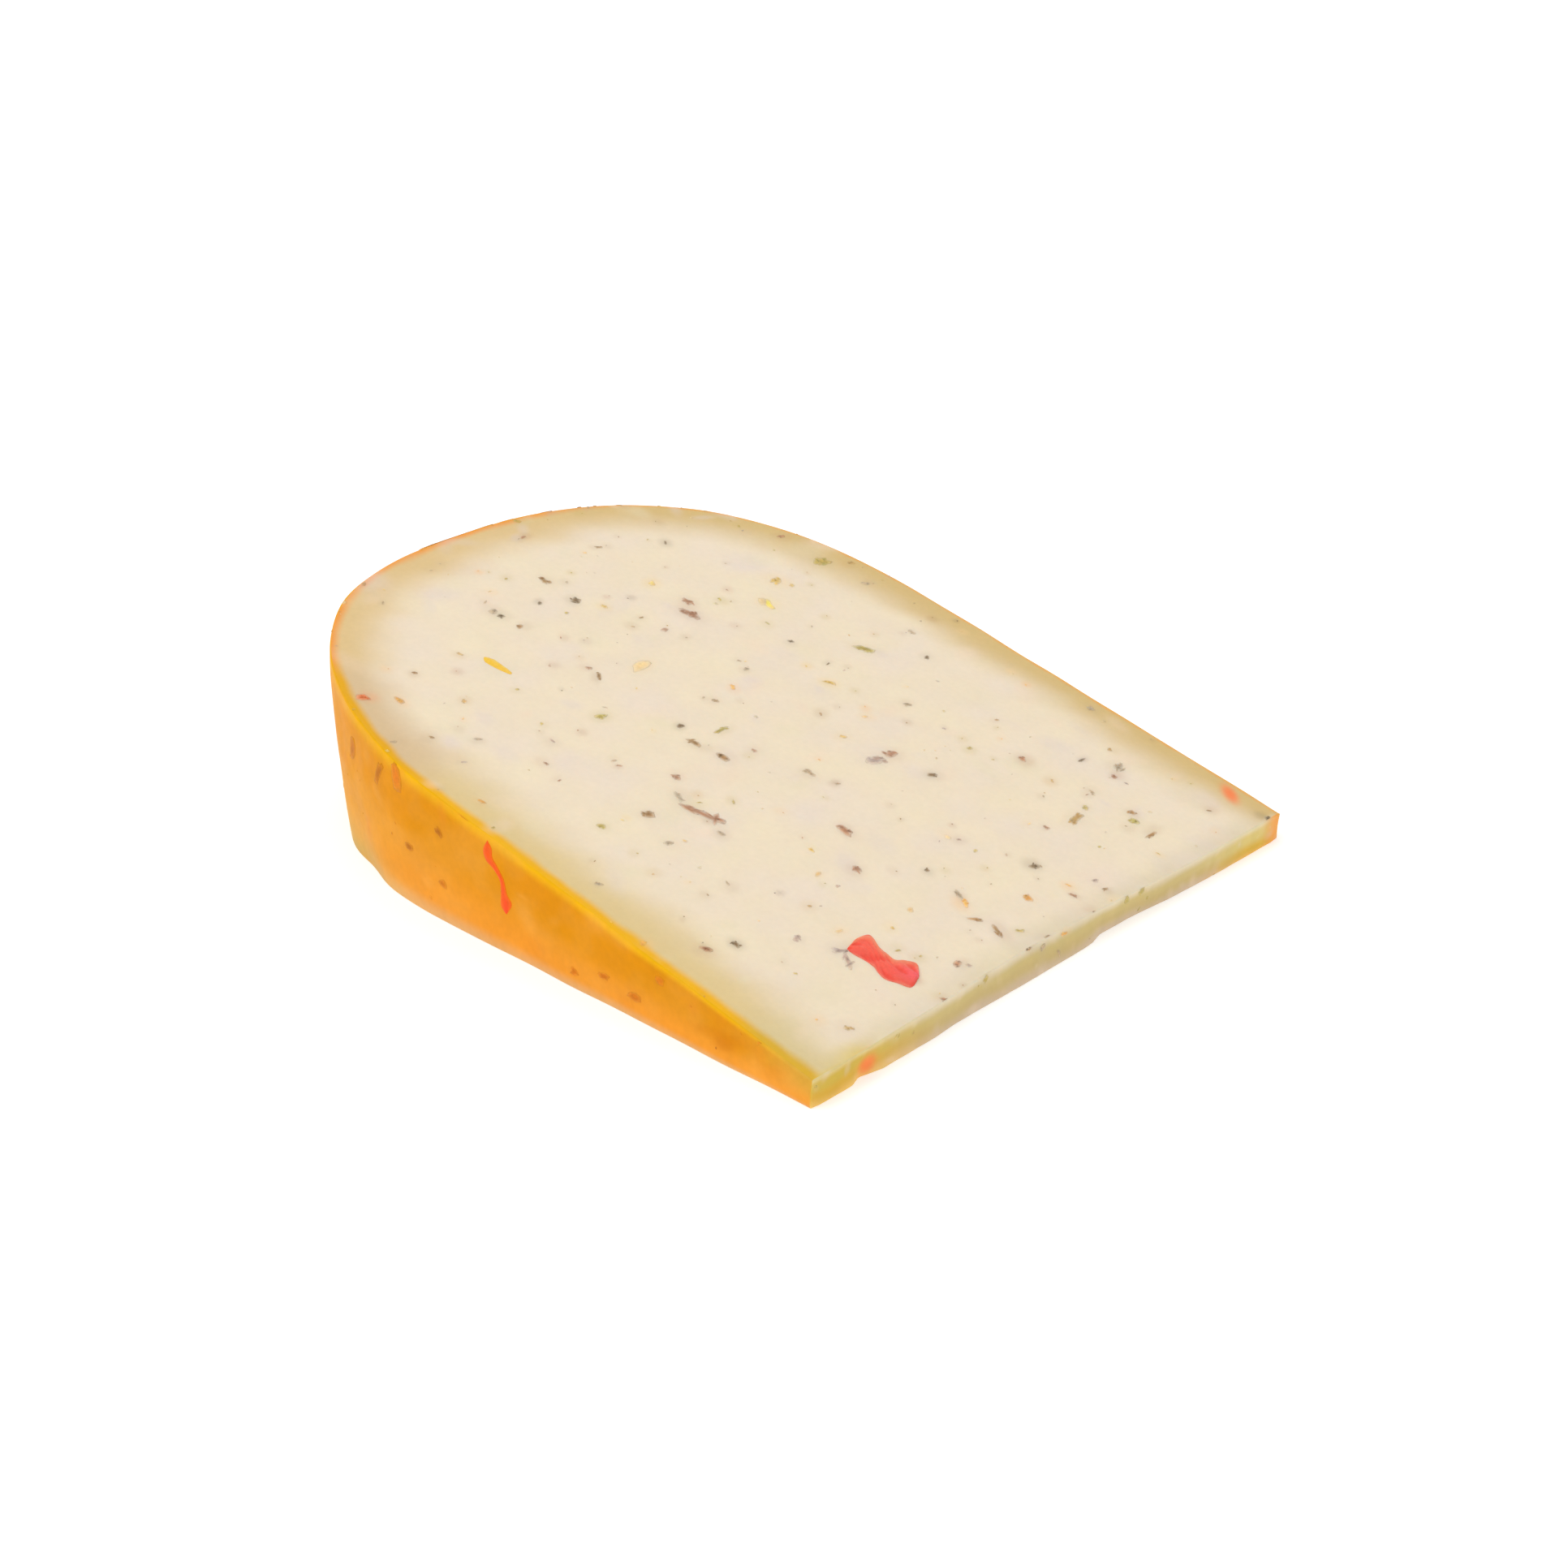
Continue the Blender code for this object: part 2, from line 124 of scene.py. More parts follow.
@dataclass(frozen=True)
class Wheel:
    """The wheel of cheese, and how the wedge was cut from it."""

    height: float = 106.0 * MM
    cut_depth: float = 130.2 * MM
    tip_height: float = 4.56 * MM
    angle: float = math.radians(12.23)
    near_flat: float = 77.9 * MM
    near_powers: tuple[float, float] = (1.88, 2.93)
    far_flat: float = 58.2 * MM
    far_powers: tuple[float, float] = (3.33, 2.08)
    rim_drawn_in: float = 6.3 * MM
    spot_along: float = 97.5 * MM
    spot_reach: float = 5.0 * MM
    spot_depth: float = 0.6 * MM
    tip_bow: float = 1.36 * MM
    tip_bow_centre: float = -4.0 * MM
    tip_bow_spread: float = 26.0 * MM
    # Across and how far the tip's lower edge stands out there, in millimetres
    tip_lower_edge: tuple[tuple[float, float], ...] = (
        (-53.0, 0.1), (-51.5, 0.35), (-45.0, 0.35), (-43.0, -0.45), (-39.0, 0.45), (-28.0, 0.35),
        (-23.0, 0.0), (-8.0, 0.15), (5.0, 0.05), (7.2, -0.15), (10.0, -0.95), (19.0, -0.7),
        (25.0, -0.1), (35.0, 0.35), (51.0, 0.5), (53.0, 0.3),
    )
    samples: int = 1600
    levels: int = 9

    @property
    def axis_beyond_tip(self) -> float:
        """How far the wheel's axis lies beyond the tip cut."""
        return self.tip_height / math.tan(self.angle)

    def shoulder(self, flat: float, powers: tuple[float, float]) -> Array:
        """Half of the cut outline, from the tip to the middle of the rim.

        Straight as far as `flat`, then a superellipse arc: with t the share of the way to the rim,
        the half width is (1 - t^p)^(1/q) of the full one.

        Args:
            flat: where the arc starts, from the tip.
            powers: the arc's p and q.

        Returns:
            Rows of (along, half width).
        """
        turn = np.linspace(0.0, math.pi / 2, self.samples)
        along = flat + (self.cut_depth - flat) * np.sin(turn) ** (2 / powers[0])
        share = np.clip(np.cos(turn), 0.0, 1.0) ** (2 / powers[1])
        arc = np.stack([along, share * self.height / 2], axis=1)
        return np.concatenate([[[0.0, self.height / 2]], arc])

    def tip_recess(self, across: Array, share: Array) -> Array:
        """How far the tip cut stands back: its bowed upper edge, fading to the torn lower one."""
        bow = self.tip_bow * np.exp(-(((across - self.tip_bow_centre) / self.tip_bow_spread) ** 2))
        places, proud = np.array(self.tip_lower_edge).T * MM
        return bow * share - np.interp(across, places, proud) * (1.0 - share)

    def spot_recess(self, along: Array, across: Array, share: Array) -> Array:
        """How far the near shoulder's flattened spot stands back, fading upwards."""
        dimple = np.exp(-(((along - self.spot_along) / self.spot_reach) ** 2)) * (1.0 - share) ** 2
        return np.where(across < 0.0, self.spot_depth * dimple, 0.0)

    def place(self, along: Array, across: Array, share: Array) -> Array:
        """Turns plan coordinates about the wheel's axis into the frame.

        Args:
            along, across: plan coordinates.
            share: 0 on the lower cut face and 1 on the upper one.

        Returns:
            Points in the frame, with the last axis x, y, z. x is the axis's place less the radius
            times the cosine of the turn, plus what the rim's lower part is drawn in.
        """
        turn = share * self.angle
        radius = self.axis_beyond_tip + along
        drawn_in = self.rim_drawn_in * (1.0 - share) * (along / self.cut_depth) ** 2
        x = self.axis_beyond_tip - radius * np.cos(turn) + drawn_in + self.centre_shift
        return np.stack(np.broadcast_arrays(x, across, radius * np.sin(turn)), axis=-1)

    @property
    def centre_shift(self) -> float:
        """The move along x that puts the middle of the plain wedge's box over the origin."""
        proud = max(stands_out for _, stands_out in self.tip_lower_edge) * MM
        share = np.linspace(0.0, 1.0, self.levels)
        radius = self.axis_beyond_tip + self.cut_depth
        rim = self.axis_beyond_tip - radius * np.cos(share * self.angle)
        rim = rim + self.rim_drawn_in * (1.0 - share)
        return -(rim.min() + proud) / 2

    def share_at(self, along: Array, height: Array) -> Array:
        """The share of the wedge angle at which a point at `along` is `height` above the floor."""
        return np.arcsin(height / (self.axis_beyond_tip + along)) / self.angle

    def wall_height(self, along: Array) -> Array:
        """How high the wall stands at `along`."""
        return (self.axis_beyond_tip + along) * math.sin(self.angle)


@dataclass
class Outline:
    """The cut outline as a loop of points, laid out so that a grid of four sides fills it.

    It starts at the near tip corner and runs along the near side, round the rim, back along the
    far side, and along the tip. The lines of the grid are closest together at the outline.
    """

    wheel: Wheel
    edge_step: float = 0.25 * MM
    rim_lines: int = 12
    tip_lines: int = 6
    side_cells: int = 258
    cross_cells: int = 216
    corner_along: float = 108.0 * MM
    tip_tolerance: float = 0.001 * MM
    batch: int = 2000
    along: Array = field(init=False)
    across: Array = field(init=False)
    out: Array = field(init=False)
    travel: Array = field(init=False)
    side_shares: Array = field(init=False)
    cross_shares: Array = field(init=False)

    def __post_init__(self) -> None:
        """Lays the loop out and works out its outward directions and the way travelled along it."""
        wheel = self.wheel
        near = wheel.shoulder(wheel.near_flat, wheel.near_powers) * (1.0, -1.0)
        far = wheel.shoulder(wheel.far_flat, wheel.far_powers)
        self.side_shares = self.spaced(
            self.side_cells, self.tip_lines, self.rim_lines, self.corner_along
        )
        self.cross_shares = self.spaced(
            self.cross_cells, self.rim_lines, self.rim_lines, wheel.height
        )
        near_side, near_rim = self.split(near)
        far_side, far_rim = self.split(far)
        rim = np.concatenate([near_rim, far_rim[::-1][1:]])
        tip = np.array([[0.0, wheel.height / 2], [0.0, -wheel.height / 2]])
        loop = np.concatenate([
            self.walk(near_side, self.side_shares)[:-1],
            self.walk(rim, self.cross_shares)[:-1],
            self.walk(far_side, self.side_shares)[::-1][:-1],
            self.walk(tip, 1.0 - self.cross_shares[::-1])[:-1],
        ])
        self.along, self.across = loop.T
        ahead = np.roll(loop, -1, axis=0) - loop
        behind = loop - np.roll(loop, 1, axis=0)
        unit = [step / np.linalg.norm(step, axis=1, keepdims=True) for step in (ahead, behind)]
        heading = unit[0] + unit[1]
        heading = heading / np.linalg.norm(heading, axis=1, keepdims=True)
        self.out = np.stack([heading[:, 1], -heading[:, 0]], axis=1)
        self.travel = np.concatenate([[0.0], np.cumsum(np.linalg.norm(ahead, axis=1))[:-1]])

    def spaced(self, cells: int, first: int, last: int, length: float) -> Array:
        """Shares from 0 to 1 with `first` and `last` fine cells of edge_step at the two ends."""
        fine_first = np.arange(first) * self.edge_step / length
        fine_last = 1.0 - np.arange(last)[::-1] * self.edge_step / length
        start = first * self.edge_step / length
        stop = 1.0 - last * self.edge_step / length
        middle = np.linspace(start, stop, cells - first - last + 1)
        return np.concatenate([fine_first, middle, fine_last])

    def split(self, points: Array) -> tuple[Array, Array]:
        """Parts a shoulder's polyline at corner_along into its side and its part of the rim."""
        corner = [self.corner_along, np.interp(self.corner_along, points[:, 0], points[:, 1])]
        before = points[points[:, 0] < self.corner_along]
        after = points[points[:, 0] > self.corner_along]
        return np.concatenate([before, [corner]]), np.concatenate([[corner], after])

    @staticmethod
    def walk(points: Array, shares: Array) -> Array:
        """The points at given shares of a polyline's length."""
        lengths = np.linalg.norm(np.diff(points, axis=0), axis=1)
        travelled = np.concatenate([[0.0], np.cumsum(lengths)])
        return np.stack([np.interp(shares * travelled[-1], travelled, c) for c in points.T], axis=1)

    @property
    def far_corner(self) -> int:
        """The index of the far tip corner."""
        return 2 * self.side_cells + self.cross_cells

    @property
    def on_tip(self) -> Array:
        """Which points of the loop lie on the tip cut, its two corners among them."""
        return self.along < self.tip_tolerance

    def plan(self, share: Array) -> tuple[Array, Array]:
        """The loop at a share of the height, with the tip's recess and the spot's."""
        recess = np.where(self.on_tip, self.wheel.tip_recess(self.across, share), 0.0)
        spot = self.wheel.spot_recess(self.along, self.across, share)
        return self.along + recess, self.across + spot

    def fill(self, along: Array, across: Array) -> tuple[Array, Array]:
        """Fills a loop with the grid: a Coons patch between its four sides.

        A point is the blend of the near and far side, plus the blend of the tip and the rim, less
        the blend of the four corners.

        Args:
            along, across: the loop's plan coordinates.

        Returns:
            The grid's plan coordinates, with rows from tip to rim and columns from near to far.
        """
        rows, columns = self.side_cells, self.cross_cells
        loop = np.stack([along, across], axis=1)
        near = loop[: rows + 1]
        rim = loop[rows : rows + columns + 1]
        far = loop[rows + columns : 2 * rows + columns + 1][::-1]
        tip = np.concatenate([loop[2 * rows + columns :], loop[:1]])[::-1]
        v = self.side_shares[:, None, None]
        u = self.cross_shares[None, :, None]
        sides = (1 - u) * near[:, None] + u * far[:, None]
        ends = (1 - v) * tip[None] + v * rim[None]
        corners = (1 - v) * ((1 - u) * tip[0] + u * tip[-1]) + v * ((1 - u) * rim[0] + u * rim[-1])
        grid = sides + ends - corners
        return grid[..., 0], grid[..., 1]

    def nearest(self, along: Array, across: Array) -> tuple[Array, Array]:
        """The distance from plan points to the outline, the tip cut left out.

        Args:
            along, across: plan coordinates, one value for each point.

        Returns:
            The distances, and for each the index of the loop's nearest point.
        """
        rind = np.flatnonzero(~self.on_tip)
        rind = np.concatenate([[rind[0] - 1], rind, [rind[-1] + 1]])
        loop = np.stack([self.along, self.across], axis=1)[rind]
        points = np.stack([along, across], axis=1)
        index = np.concatenate([
            ((part[:, None] - loop[None]) ** 2).sum(axis=2).argmin(axis=1)
            for part in np.array_split(points, max(1, len(points) // self.batch))
        ])
        best = np.full(len(points), np.inf)
        for step in (-1, 0):
            corner = np.clip(index + step, 0, len(loop) - 2)
            start = loop[corner]
            run = loop[corner + 1] - start
            share = ((points - start) * run).sum(axis=1) / (run * run).sum(axis=1)
            foot = start + np.clip(share, 0.0, 1.0)[:, None] * run
            best = np.minimum(best, np.linalg.norm(points - foot, axis=1))
        return best, rind[index]


class Skin:
    """A surface of the wedge. Its two coordinates and a lift along its normal give a place.

    `ranges` says from where to where the two coordinates run in the photograph's view.
    """

    ranges: tuple[tuple[float, float], tuple[float, float]]
    margin = 0.12 * MM

    def __init__(self, outline: Outline) -> None:
        """Keeps the outline and the wheel that the surface belongs to."""
        self.outline = outline
        self.wheel = outline.wheel

    def at(self, first: Array, second: Array, lift: Array) -> Array:
        """Points in the frame, with the last axis x, y, z."""
        raise NotImplementedError

    def holds(self, first: Array, second: Array) -> Array:
        """Which places within the ranges lie on the surface."""
        return np.ones(first.shape, bool)

    def keep(self, first: Array, second: Array) -> tuple[Array, Array]:
        """The coordinates, moved to the surface's border where they lie past it."""
        return first, second


class CutFace(Skin):
    """The upper cut face, over along and across: the plane of the cut, a little uneven."""

    ranges = ((0.0, Wheel.cut_depth), (-Wheel.height / 2, Wheel.height / 2))
    waves = Waves(seed=11, height=0.05 * MM, shortest=14 * MM, longest=45 * MM)

    def at(self, first: Array, second: Array, lift: Array) -> Array:
        """The wheel's point at share 1, moved along the cut's normal by the waves and the lift."""
        rise = self.waves.at(first, second) + lift
        normal = np.array([math.sin(self.wheel.angle), 0.0, math.cos(self.wheel.angle)])
        return self.wheel.place(first, second, np.ones_like(rise)) + rise[..., None] * normal

    def keep(self, first: Array, second: Array) -> tuple[Array, Array]:
        """Coordinates inside the outline by the margin."""
        wheel = self.wheel
        near = wheel.shoulder(wheel.near_flat, wheel.near_powers)
        far = wheel.shoulder(wheel.far_flat, wheel.far_powers)
        low = -np.interp(first, near[:, 0], near[:, 1]) + self.margin
        high = np.interp(first, far[:, 0], far[:, 1]) - self.margin
        second = np.clip(second, low, high)
        start = wheel.tip_recess(second, np.ones_like(second)) + self.margin
        return np.clip(first, start, wheel.cut_depth - self.margin), second


class Rind(Skin):
    """The coated wall, over the way travelled along the outline and the height above the floor."""

    ranges = ((0.5 * MM, 130.0 * MM), (0.2 * MM, 31.5 * MM))
    waves = Waves(seed=12, height=0.10 * MM, shortest=9 * MM, longest=30 * MM)

    def at(self, first: Array, second: Array, lift: Array) -> Array:
        """The wall's point, moved outwards in plan by the waves and the lift."""
        loop = self.outline
        along = np.interp(first, loop.travel, loop.along)
        across = np.interp(first, loop.travel, loop.across)
        out = [np.interp(first, loop.travel, part) for part in loop.out.T]
        share = self.wheel.share_at(along, second)
        across = across + self.wheel.spot_recess(along, across, share)
        rise = self.waves.at(first, second) + lift
        return self.wheel.place(along + out[0] * rise, across + out[1] * rise, share)

    def top(self, first: Array) -> Array:
        """The wall's height at places along the outline."""
        return self.wheel.wall_height(np.interp(first, self.outline.travel, self.outline.along))

    def holds(self, first: Array, second: Array) -> Array:
        """The places that are no higher than the wall."""
        return second <= self.top(first)

    def keep(self, first: Array, second: Array) -> tuple[Array, Array]:
        """Coordinates between the two tip corners and the two edges, by the margin."""
        corner = self.outline.travel[self.outline.far_corner]
        first = np.clip(first, self.margin, corner - self.margin)
        return first, np.clip(second, self.margin, self.top(first) - self.margin)


class TipCut(Skin):
    """The narrow face where the tip was cut off, over across and the height above the floor."""

    ranges = ((-Wheel.height / 2, Wheel.height / 2), (0.1 * MM, Wheel.tip_height))
    waves = Waves(seed=13, height=0.03 * MM, shortest=3 * MM, longest=12 * MM)

    def at(self, first: Array, second: Array, lift: Array) -> Array:
        """The tip's point, moved outwards by the waves and the lift."""
        share = self.wheel.share_at(np.zeros_like(first), second)
        along = self.wheel.tip_recess(first, share) - self.waves.at(first, second) - lift
        return self.wheel.place(along, first, share)

    def keep(self, first: Array, second: Array) -> tuple[Array, Array]:
        """Coordinates within the tip cut by the margin."""
        half = self.wheel.height / 2 - self.margin
        return np.clip(first, -half, half), np.clip(
            second, self.margin, self.wheel.tip_height - self.margin
        )


@dataclass(frozen=True)
class PhotoView:
    """The camera that took the photograph: where it stood, measured from the tip, and its aim."""

    side: float = 1932.0
    focal: float = 3449.24
    sensor: float = 36.0
    from_tip: tuple[float, float, float] = (209.824 * MM, -279.864 * MM, 199.847 * MM)
    azimuth: float = math.radians(43.40)
    elevation: float = math.radians(26.27)
    near_clip: float = 10 * MM
    # The search for what shows at a pixel: first tries, Newton's steps, and the way for a slope
    tries: tuple[int, int] = (90, 50)
    rounds: int = 7
    slope_step: float = 0.05 * MM

    def axes(self) -> tuple[Array, Array, Array]:
        """The camera's way to the right, its way up and its way forward."""
        level = math.cos(self.elevation)
        return axes_of(-np.array([
            math.sin(self.azimuth) * level,
            -math.cos(self.azimuth) * level,
            math.sin(self.elevation),
        ]))

    def place(self, wheel: Wheel) -> Array:
        """Where the camera stands in the frame."""
        return np.array(self.from_tip) + (wheel.centre_shift, 0.0, 0.0)

    def pixel(self, points: Array, wheel: Wheel) -> Array:
        """The photograph's pixel for points in the frame: focal length times slope, from the middle."""
        right, up, forward = self.axes()
        offset = points - self.place(wheel)
        depth = offset @ forward
        column = self.side / 2 + self.focal * (offset @ right) / depth
        row = self.side / 2 - self.focal * (offset @ up) / depth
        return np.stack([column, row], axis=-1)

    def find(self, skin: Skin, pixels: Array) -> Array:
        """The skin's coordinates that show at some pixels.

        It starts from the nearest of a coarse set of points of the skin, and then takes Newton's
        steps with slopes measured over a small distance.

        Args:
            skin: the surface that carries what is seen.
            pixels: rows of (column, row).

        Returns:
            Rows of the skin's two coordinates.
        """
        lines = [np.linspace(*ends, count) for ends, count in zip(skin.ranges, self.tries)]
        tries = np.stack(np.meshgrid(*lines), axis=-1).reshape(-1, 2)
        tries = tries[skin.holds(tries[:, 0], tries[:, 1])]
        apart = pixels[:, None] - self.seen(skin, tries)[None]
        found = tries[(apart**2).sum(axis=2).argmin(axis=1)]
        step = self.slope_step
        for _ in range(self.rounds):
            here = self.seen(skin, found)
            by_first = (self.seen(skin, found + (step, 0.0)) - here) / step
            by_second = (self.seen(skin, found + (0.0, step)) - here) / step
            slopes = np.stack([by_first, by_second], axis=2)
            found = found + np.linalg.solve(slopes, (pixels - here)[..., None])[..., 0]
        return found

    def seen(self, skin: Skin, places: Array) -> Array:
        """The pixels at which rows of a skin's coordinates show."""
        return self.pixel(skin.at(places[:, 0], places[:, 1], np.zeros(len(places))), skin.wheel)

    def build(self, wheel: Wheel) -> None:
        """Makes the camera."""
        data = bpy.data.cameras.new("photo_view")
        data.sensor_width = self.sensor
        data.lens = self.focal / self.side * self.sensor
        data.clip_start = self.near_clip
        camera = bpy.data.objects.new("photo_view", data)
        stand(camera, self.axes()[-1], self.place(wheel))
        bpy.context.scene.camera = camera


class Kind(Enum):
    """What a bit is made of, which decides the piece that it is in."""

    HERB = "herb"
    PEPPER = "pepper"
    CHILI = "chili"


@dataclass(frozen=True)
class Hue:
    """How a kind of bit looks: its colour as shown, its stain's strength, and if it is whole."""

    kind: Kind
    colour: tuple[int, int, int]
    stain: float = 0.22
    whole: bool = False


class Tone(Enum):
    """The hues of the bits."""

    DARK = Hue(Kind.HERB, (140, 115, 85))
    UMBER = Hue(Kind.HERB, (180, 138, 92))
    RUSSET = Hue(Kind.HERB, (190, 138, 106))
    GREY = Hue(Kind.HERB, (198, 172, 140))
    LILAC = Hue(Kind.HERB, (200, 172, 156))
    OLIVE = Hue(Kind.HERB, (206, 180, 100))
    TAN = Hue(Kind.HERB, (212, 170, 106))
    AMBER = Hue(Kind.PEPPER, (246, 204, 114))
    YELLOW = Hue(Kind.PEPPER, (254, 220, 100), whole=True)
    ORANGE = Hue(Kind.PEPPER, (252, 184, 98))
    PEACH = Hue(Kind.PEPPER, (253, 212, 150), whole=True)
    RED = Hue(Kind.CHILI, (252, 130, 72), 0.4)
    # Under the coating everything takes the coating's colour
    LEAF = Hue(Kind.HERB, (188, 108, 4), 0.2, True)
    SPOT = Hue(Kind.HERB, (210, 120, 12), 0.2, True)


@dataclass(frozen=True)
class Mark:
    """A bit that has its place: two ends and a width in the photograph's pixels, and its tone.

    With a softness above zero it is a soft patch of that strength instead.
    """

    start: tuple[int, int]
    end: tuple[int, int]
    width: int
    tone: Tone
    softness: float = 0.0


CUT_MARKS = {
    "herb bar by the big chili": Mark((1024, 1172), (1046, 1171), 5, Tone.LILAC),
    "herb leg by the big chili": Mark((1040, 1173), (1048, 1194), 6, Tone.LILAC),
    "peach piece": Mark((782, 825), (799, 815), 9, Tone.PEACH),
    "long stalk": Mark((840, 991), (889, 1014), 7, Tone.RUSSET),
    "stalk head": Mark((832, 976), (840, 988), 6, Tone.GREY),
    "pale leaf": Mark((1066, 939), (1090, 935), 9, Tone.LILAC),
    "leaf beside it": Mark((1091, 931), (1104, 927), 9, Tone.RUSSET),
    "brown lump": Mark((1034, 1016), (1047, 1030), 9, Tone.RUSSET),
    "brown round": Mark((1050, 1071), (1061, 1071), 9, Tone.RUSSET),
    "dark lump": Mark((884, 928), (898, 938), 8, Tone.UMBER),
    "brown bar": Mark((848, 911), (864, 920), 6, Tone.UMBER),
    "dark seed": Mark((992, 948), (1003, 956), 6, Tone.GREY),
    "brown leaf": Mark((840, 750), (862, 762), 8, Tone.RUSSET),
    "brown leaf's tip": Mark((842, 737), (852, 745), 7, Tone.RUSSET),
    "dark bead": Mark((704, 740), (714, 739), 8, Tone.DARK),
    "brown sliver": Mark((665, 712), (677, 720), 6, Tone.UMBER),
    "grey bead": Mark((602, 754), (612, 753), 7, Tone.GREY),
    "dark dot beside it": Mark((613, 757), (621, 761), 5, Tone.DARK),
    "olive bead": Mark((949, 716), (963, 716), 8, Tone.AMBER),
    "olive leaf": Mark((1004, 692), (1024, 692), 9, Tone.OLIVE),
    "yellow bead": Mark((943, 744), (951, 744), 9, Tone.YELLOW),
    "red piece on the shoulder": Mark((438, 857), (456, 862), 8, Tone.RED),
    "orange piece on the shoulder": Mark((486, 858), (497, 867), 6, Tone.ORANGE),
    "dark dot at the far tip": Mark((1558, 1006), (1567, 1011), 5, Tone.DARK),
    "stick near the far tip": Mark((1413, 1032), (1424, 1025), 5, Tone.UMBER),
    "olive grain": Mark((1391, 1010), (1404, 1014), 7, Tone.OLIVE),
    "dark grain": Mark((1391, 999), (1399, 1004), 5, Tone.UMBER),
    "grey lump": Mark((1372, 945), (1385, 946), 9, Tone.GREY),
    "tan leaf": Mark((1316, 1014), (1333, 1004), 9, Tone.TAN),
    "russet grain": Mark((1256, 932), (1263, 938), 6, Tone.RUSSET),
    "dark sliver": Mark((1142, 955), (1154, 955), 5, Tone.DARK),
    "stick above the tip": Mark((1177, 1096), (1187, 1110), 5, Tone.GREY),
    "its orange end": Mark((1187, 1108), (1192, 1118), 6, Tone.ORANGE),
    "flat stick": Mark((1194, 1132), (1211, 1134), 5, Tone.UMBER),
    "slanting stick": Mark((1222, 1137), (1234, 1155), 6, Tone.UMBER),
    "orange grain": Mark((1262, 1103), (1272, 1110), 7, Tone.ORANGE),
    "olive stalk": Mark((1051, 796), (1080, 803), 5, Tone.OLIVE),
    "amber stalk": Mark((1015, 839), (1030, 843), 4, Tone.AMBER),
    "brown blot": Mark((791, 1003), (807, 1004), 8, Tone.UMBER),
    "brown blot by the near edge": Mark((862, 1167), (878, 1172), 7, Tone.RUSSET),
    "dark grain beside it": Mark((902, 1160), (911, 1167), 6, Tone.DARK),
    "olive sliver": Mark((733, 884), (747, 881), 6, Tone.OLIVE),
    "olive arch": Mark((880, 903), (896, 896), 5, Tone.OLIVE),
    "brown upright": Mark((737, 828), (739, 838), 6, Tone.UMBER),
    "red patch under the far rind": Mark((1509, 967), (1522, 990), 15, Tone.RED, 0.9),
    "red patch at the near tip corner": Mark((1058, 1310), (1078, 1292), 14, Tone.RED, 0.8),
}
RIND_MARKS = {
    "red bead": Mark((570, 992), (574, 1003), 9, Tone.RED),
    "long leaf": Mark((487, 940), (489, 972), 8, Tone.SPOT),
    "slanting leaf": Mark((470, 938), (463, 965), 6, Tone.LEAF),
    "leaf at the turn": Mark((435, 910), (434, 935), 6, Tone.LEAF),
    "dot right of the leaves": Mark((536, 1020), (544, 1030), 5, Tone.LEAF),
    "dot below the leaves": Mark((500, 1040), (508, 1046), 6, Tone.LEAF),
    "low dot": Mark((541, 1085), (550, 1092), 6, Tone.SPOT),
    "middle dot": Mark((703, 1193), (712, 1201), 6, Tone.SPOT),
    "dot beside it": Mark((738, 1199), (750, 1207), 6, Tone.SPOT),
    "right dot": Mark((775, 1225), (790, 1232), 7, Tone.SPOT),
    "upper right dot": Mark((808, 1205), (818, 1212), 7, Tone.SPOT),
    "smudge near the tip": Mark((880, 1285), (905, 1290), 16, Tone.SPOT, 0.5),
    "smear near the tip": Mark((850, 1262), (930, 1292), 14, Tone.SPOT, 0.3),
}
TIP_MARKS = {
    "first olive stick": Mark((1213, 1212), (1217, 1202), 5, Tone.OLIVE),
    "brown stick": Mark((1265, 1170), (1271, 1166), 6, Tone.UMBER),
    "dark stick": Mark((1282, 1170), (1288, 1165), 6, Tone.GREY),
    "second dark stick": Mark((1303, 1176), (1306, 1172), 6, Tone.GREY),
    "orange dot": Mark((1308, 1151), (1315, 1150), 5, Tone.ORANGE),
    "olive stick": Mark((1386, 1113), (1391, 1106), 6, Tone.OLIVE),
    "last olive stick": Mark((1403, 1101), (1410, 1096), 6, Tone.OLIVE),
    "red patch at the near corner": Mark((1058, 1322), (1078, 1300), 16, Tone.RED, 0.85),
}


